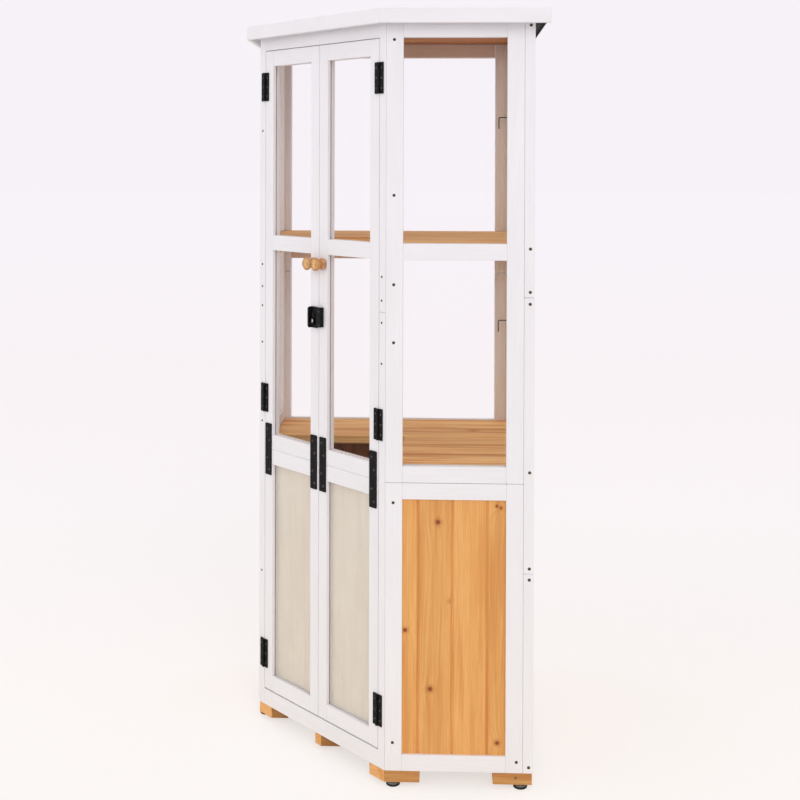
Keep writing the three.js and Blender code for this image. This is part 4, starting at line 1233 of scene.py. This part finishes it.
# %% Softened copies of fixed solids
def softened_copy(name, body, material, width_mm, segments=2, along=2, painted_shade=0.0, lift=0.0):
    """A merged copy of a solid with a bevel on every edge sharper than 30 degrees. The painted
    shade argument is how much the faces that look towards minus y are darkened: painted shade
    under the cabinet. lift moves the lowest 2 mm up, so the copy is that much shorter."""
    source = frame["nodes"][name]
    mesh = source.data.copy()
    made = bpy.data.objects.new(name + "_finished", mesh)
    bpy.context.scene.collection.objects.link(made)
    count = len(mesh.vertices)
    weld = made.modifiers.new("weld", "WELD")
    weld.merge_threshold = 0.00001
    flatten = made.modifiers.new("flatten", "DECIMATE")
    flatten.decimate_type = "DISSOLVE"
    flatten.angle_limit = np.radians(2)
    bevel = made.modifiers.new("bevel", "BEVEL")
    bevel.width, bevel.segments = width_mm / METRE, segments
    bevel.limit_method, bevel.angle_limit = "ANGLE", np.radians(30)
    bpy.context.view_layer.update()
    evaluated = made.evaluated_get(bpy.context.evaluated_depsgraph_get())
    ready = bpy.data.meshes.new_from_object(evaluated)
    made.modifiers.clear()
    made.data = ready
    points = np.zeros(len(ready.vertices) * 3, np.float32)
    ready.vertices.foreach_get("co", points)
    points = points.reshape(-1, 3)
    points[:, 2] += lift / METRE * (points[:, 2] < points[:, 2].min() + 0.002)
    ready.vertices.foreach_set("co", points.ravel())
    pith = np.array([0.04, 0.06, chance.uniform(0, 4)], np.float32)
    grain = ready.attributes.new("grain", "FLOAT_VECTOR", "POINT")
    turned_points = (points - points.mean(0))[:, FIBRES_LAST[along]]
    grain.data.foreach_set("vector", (turned_points + pith).ravel())
    tone = ready.attributes.new("tone", "FLOAT", "POINT")
    tone.data.foreach_set("value", np.full(len(points), chance.uniform(0.2, 0.9), np.float32))
    facing = np.zeros(len(ready.polygons) * 3, np.float32)
    ready.polygons.foreach_get("normal", facing)
    end = ready.attributes.new("end", "FLOAT", "FACE")
    end.data.foreach_set("value", (facing[1::3] < -0.9).astype(np.float32) * painted_shade)
    ready.materials.clear()
    ready.materials.append(material)
    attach(made, body)
    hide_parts(name)
    return count, len(points)


meeting = FRONT / 2
# a painted highlight on the lever's head stands for a glint there
glint_spot = into_room(np.array([[meeting - 9.2, -11.3, 937.5]]), "front")[0] / METRE
GLINT_STEEL = black_steel("steel_painted_glint", tuple(glint_spot.tolist()))
print("latch plate points:", softened_copy("latch_plate", "left_door", STEEL, 0.5))
print("latch lever points:", softened_copy("latch_lever", "lever", GLINT_STEEL, 0.4))
keeper_points = softened_copy("latch_keeper", "right_door", STEEL, 0.4, lift=3.5)
print("latch keeper points:", keeper_points)
put_screws("latch_keeper_screws", "front", "right_door",
           [(meeting + 12.5, 929.0, -11.0), (meeting + 12.5, 959.0, -11.0)], 2.0, DARK_SCREW)
put_screws("latch_plate_screws", "front", "left_door",
           [(meeting - 24.0, 929.0, -11.0), (meeting - 24.0, 959.0, -11.0)], 1.8, DARK_SCREW)

# %% [markdown]
# ## Foot blocks and levelling feet
# Sawn blocks carry the cabinet. Under each but the middle one is a screw-in foot: a black plastic
# base on a plated collar.

# %% Blocks and feet
PLACES = {"front_right": (CORNER + 17.5, 15 - HALF), "front_left": (15 - HALF, CORNER + 17.5),
          "right": (HALF - 25, 15 - HALF), "left": (15 - HALF, HALF - 25),
          "back": (HALF - 25, HALF - 25)}
# Painted shade: the blocks' faces that look towards minus y sit under the cabinet and are darkened,
# the front left one most.
PAINTED_SHADE = {"front_right": 0.6, "front_left": 1.6, "front_middle": 1.0}
USUAL_PAINTED_SHADE = 0.53
for place in [*PLACES, "front_middle"]:
    softened_copy("foot_block_" + place, "cabinet", BLOCK_PINE, 0.8, 2,
                  0 if "left" not in place else 1, PAINTED_SHADE.get(place, USUAL_PAINTED_SHADE))
base_profile = [(0, 0), (12.8, 0), (14.2, 0.9), (14.5, 2.4), (14.3, 3.8), (13.6, 4.2), (0, 4.2)]
collar_profile = [(0, 4.0), (12.9, 4.0), (13.0, 4.6), (11.6, 6.8), (10.4, 8.6), (7.2, 9.6),
                  (4, 9.7), (4, 27), (3.2, 28), (0, 28)]
for place, (x, y) in PLACES.items():
    base = Piece("foot_base_" + place)
    points, faces = turned(base_profile, 40)
    base.add(points + np.array([x, y, 0]), faces, smooth_faces=True)
    base.finish("foot_" + place, [PLASTIC], "black_plastic", ["levelling_foot_" + place])
    collar = Piece("foot_collar_" + place)
    points, faces = turned(collar_profile, 40)
    collar.add(points + np.array([x, y, 0]), faces, smooth_faces=True)
    collar.finish("foot_" + place, [COLLAR], "black_plastic")
print("feet:", len(PLACES))


# %% [markdown]
# ## Hooks
# Two bent wire hooks stick out of the right back wall, above each shelf. A wire is a circle
# carried along a path: at each point of the path the ring stands square to its direction.

# %% Wire hooks
def wire(path, radius, around=14):
    """Rings of radius around each path point, in the plane of two directions square to it."""
    path = np.asarray(path, float)
    direction = np.gradient(path, axis=0)
    direction /= np.linalg.norm(direction, axis=1, keepdims=True)
    aside = np.cross(direction, [0.0, 1.0, 0.0])
    aside /= np.linalg.norm(aside, axis=1, keepdims=True)
    over = np.cross(direction, aside)
    angle = np.linspace(0, 2 * np.pi, around, endpoint=False)[None, :, None]
    spokes = np.cos(angle) * aside[:, None] + np.sin(angle) * over[:, None]
    rings = path[:, None] + radius * spokes
    points = np.concatenate([rings.reshape(-1, 3), path[:1], path[-1:]])
    i = np.arange(around)
    j = np.roll(i, -1)
    last = (len(path) - 1) * around
    start_fan = np.stack([np.full(around, len(points) - 2), j, i], 1)
    end_fan = np.stack([np.full(around, len(points) - 1), i + last, j + last], 1)
    return points, gather(ring_quads(around, len(path)), start_fan, end_fan)


HOOK_Y = 262.0
hooks = Piece("wall_hooks")
for z in (1398.0, 888.0):
    wall = HALF - THICK
    bar = np.linspace([wall + 6, HOOK_Y, z], [wall - 24, HOOK_Y, z], 6)
    s = np.linspace(0, np.pi / 2, 7)[1:, None]
    bend = np.array([wall - 24, HOOK_Y, z - 3]) + 3 * (
        np.sin(s) * np.array([-1, 0, 0]) + np.cos(s) * np.array([0, 0, 1]))
    leg = np.linspace([wall - 27, HOOK_Y, z - 6], [wall - 27, HOOK_Y, z - 29], 5)
    points, faces = wire(np.concatenate([bar, bend, leg]), 1.4)
    hooks.add(points, faces, smooth_faces=True)
hooks.finish("cabinet", [DARK_SCREW], "black_steel")
print("hook points:", len(points))

# %% [markdown]
# ## Clear sheets
# The window sheets keep their solids: flat sheets that run into the slots. They only get the
# acrylic finish.

# %% Finish of the fixed sheets
for name, solid in frame["nodes"].items():
    if name.endswith("_glazing"):
        solid.data.materials.clear()
        solid.data.materials.append(SHEET)
    elif not solid.hide_render:
        print("still plain:", name)

# %% [markdown]
# ## Floor, background and light
# The photograph has one pale ground that runs into a pale background. A large plane stands for
# the ground, and the world shows the same pale tone to the camera. Light comes softly from all
# round. A wide soft lamp stands high in front, a little to the right. Two low ones shine under
# the roof's edge: a stronger one from the left onto the doors, and a weak one from the right
# through the side window, onto the walls inside.

# %% Stage and light
floor_mesh = bpy.data.meshes.new("floor")
reach = 60.0
floor_corners = [(-reach, -reach, 0), (reach, -reach, 0), (reach, reach, 0), (-reach, reach, 0)]
floor_mesh.from_pydata(floor_corners, [], [(0, 1, 2, 3)])
floor = bpy.data.objects.new("floor", floor_mesh)
bpy.context.scene.collection.objects.link(floor)
ground, tree, shader = new_material("pale_ground")
here = node(tree, "TexCoord").outputs["Object"]
depth = node(tree, "SeparateXYZ", {0: here}).outputs["Y"]
CAMERA_BACK = 2.73  # metres from the middle of the cabinet to the camera
TONE_REACH = 1.87  # the distance from the camera at which the ramp below would read 1
from_camera = maths(tree, "MAXIMUM", maths(tree, "ADD", depth, CAMERA_BACK), 0.5)
near_far = maths(tree, "DIVIDE", TONE_REACH, from_camera)
tone = ramp(tree, near_far, [(0.03, srgb(247, 242.5, 248)), (0.25, srgb(248, 242, 245)),
                             (0.69, srgb(251.5, 248, 245.5))])
away = node(tree, "VectorMath", {0: here}, operation="LENGTH").outputs["Value"]
bounce = ramp(tree, smooth(tree, away, 0.5, 3.5), [(0.0, srgb(250, 245, 231)),
                                                   (1.0, srgb(247, 246, 252))])
path = node(tree, "LightPath")
seen = maths(tree, "MAXIMUM", path.outputs["Is Camera Ray"], path.outputs["Is Transmission Ray"])
tree.links.new(blend(tree, seen, bounce, tone), shader.inputs["Base Color"])
shader.inputs["Roughness"].default_value = 0.9
shader.inputs["Specular IOR Level"].default_value = 0.0
glow = node(tree, "Emission", {0: tone, 1: 1.1})
ground_mix = node(tree, "MixShader", {0: maths(tree, "MULTIPLY", seen, 0.62), 1: shader.outputs[0],
                                      2: glow.outputs[0]})
tree.links.new(ground_mix.outputs[0], tree.nodes["Material Output"].inputs[0])
floor_mesh.materials.append(ground)

world = bpy.data.worlds.new("studio")
bpy.context.scene.world = world
world.use_nodes = True
tree = world.node_tree
light = tree.nodes["Background"]
light.inputs[0].default_value = (1.0, 0.99, 1.005, 1.0)
light.inputs[1].default_value = 0.75
shown = node(tree, "Background", {0: srgb(247, 242.5, 248), 1: 1.0})
path = node(tree, "LightPath")
seen = maths(tree, "MAXIMUM", path.outputs["Is Camera Ray"], path.outputs["Is Transmission Ray"])
seen = maths(tree, "MAXIMUM", seen, path.outputs["Is Glossy Ray"])
mixed = node(tree, "MixShader", {0: seen, 1: light.outputs[0], 2: shown.outputs[0]})
tree.links.new(mixed.outputs[0], tree.nodes["World Output"].inputs[0])

# name, strength, then height, side and width in degrees
LAMPS = (("soft_key", 0.42, 33, 14, 36), ("soft_fill", 0.65, 6, -60, 45),
         ("soft_side", 0.25, 8, 35, 40))
for name, energy, height, side, width in LAMPS:
    lamp = bpy.data.lights.new(name, "SUN")
    lamp.energy = energy
    lamp.angle = np.radians(width)
    sun = bpy.data.objects.new(name, lamp)
    sun.rotation_euler = (np.radians(90 - height), 0.0, np.radians(side))
    bpy.context.scene.collection.objects.link(sun)
print("world light", round(light.inputs[1].default_value, 2), "lamps:", len(bpy.data.lights))
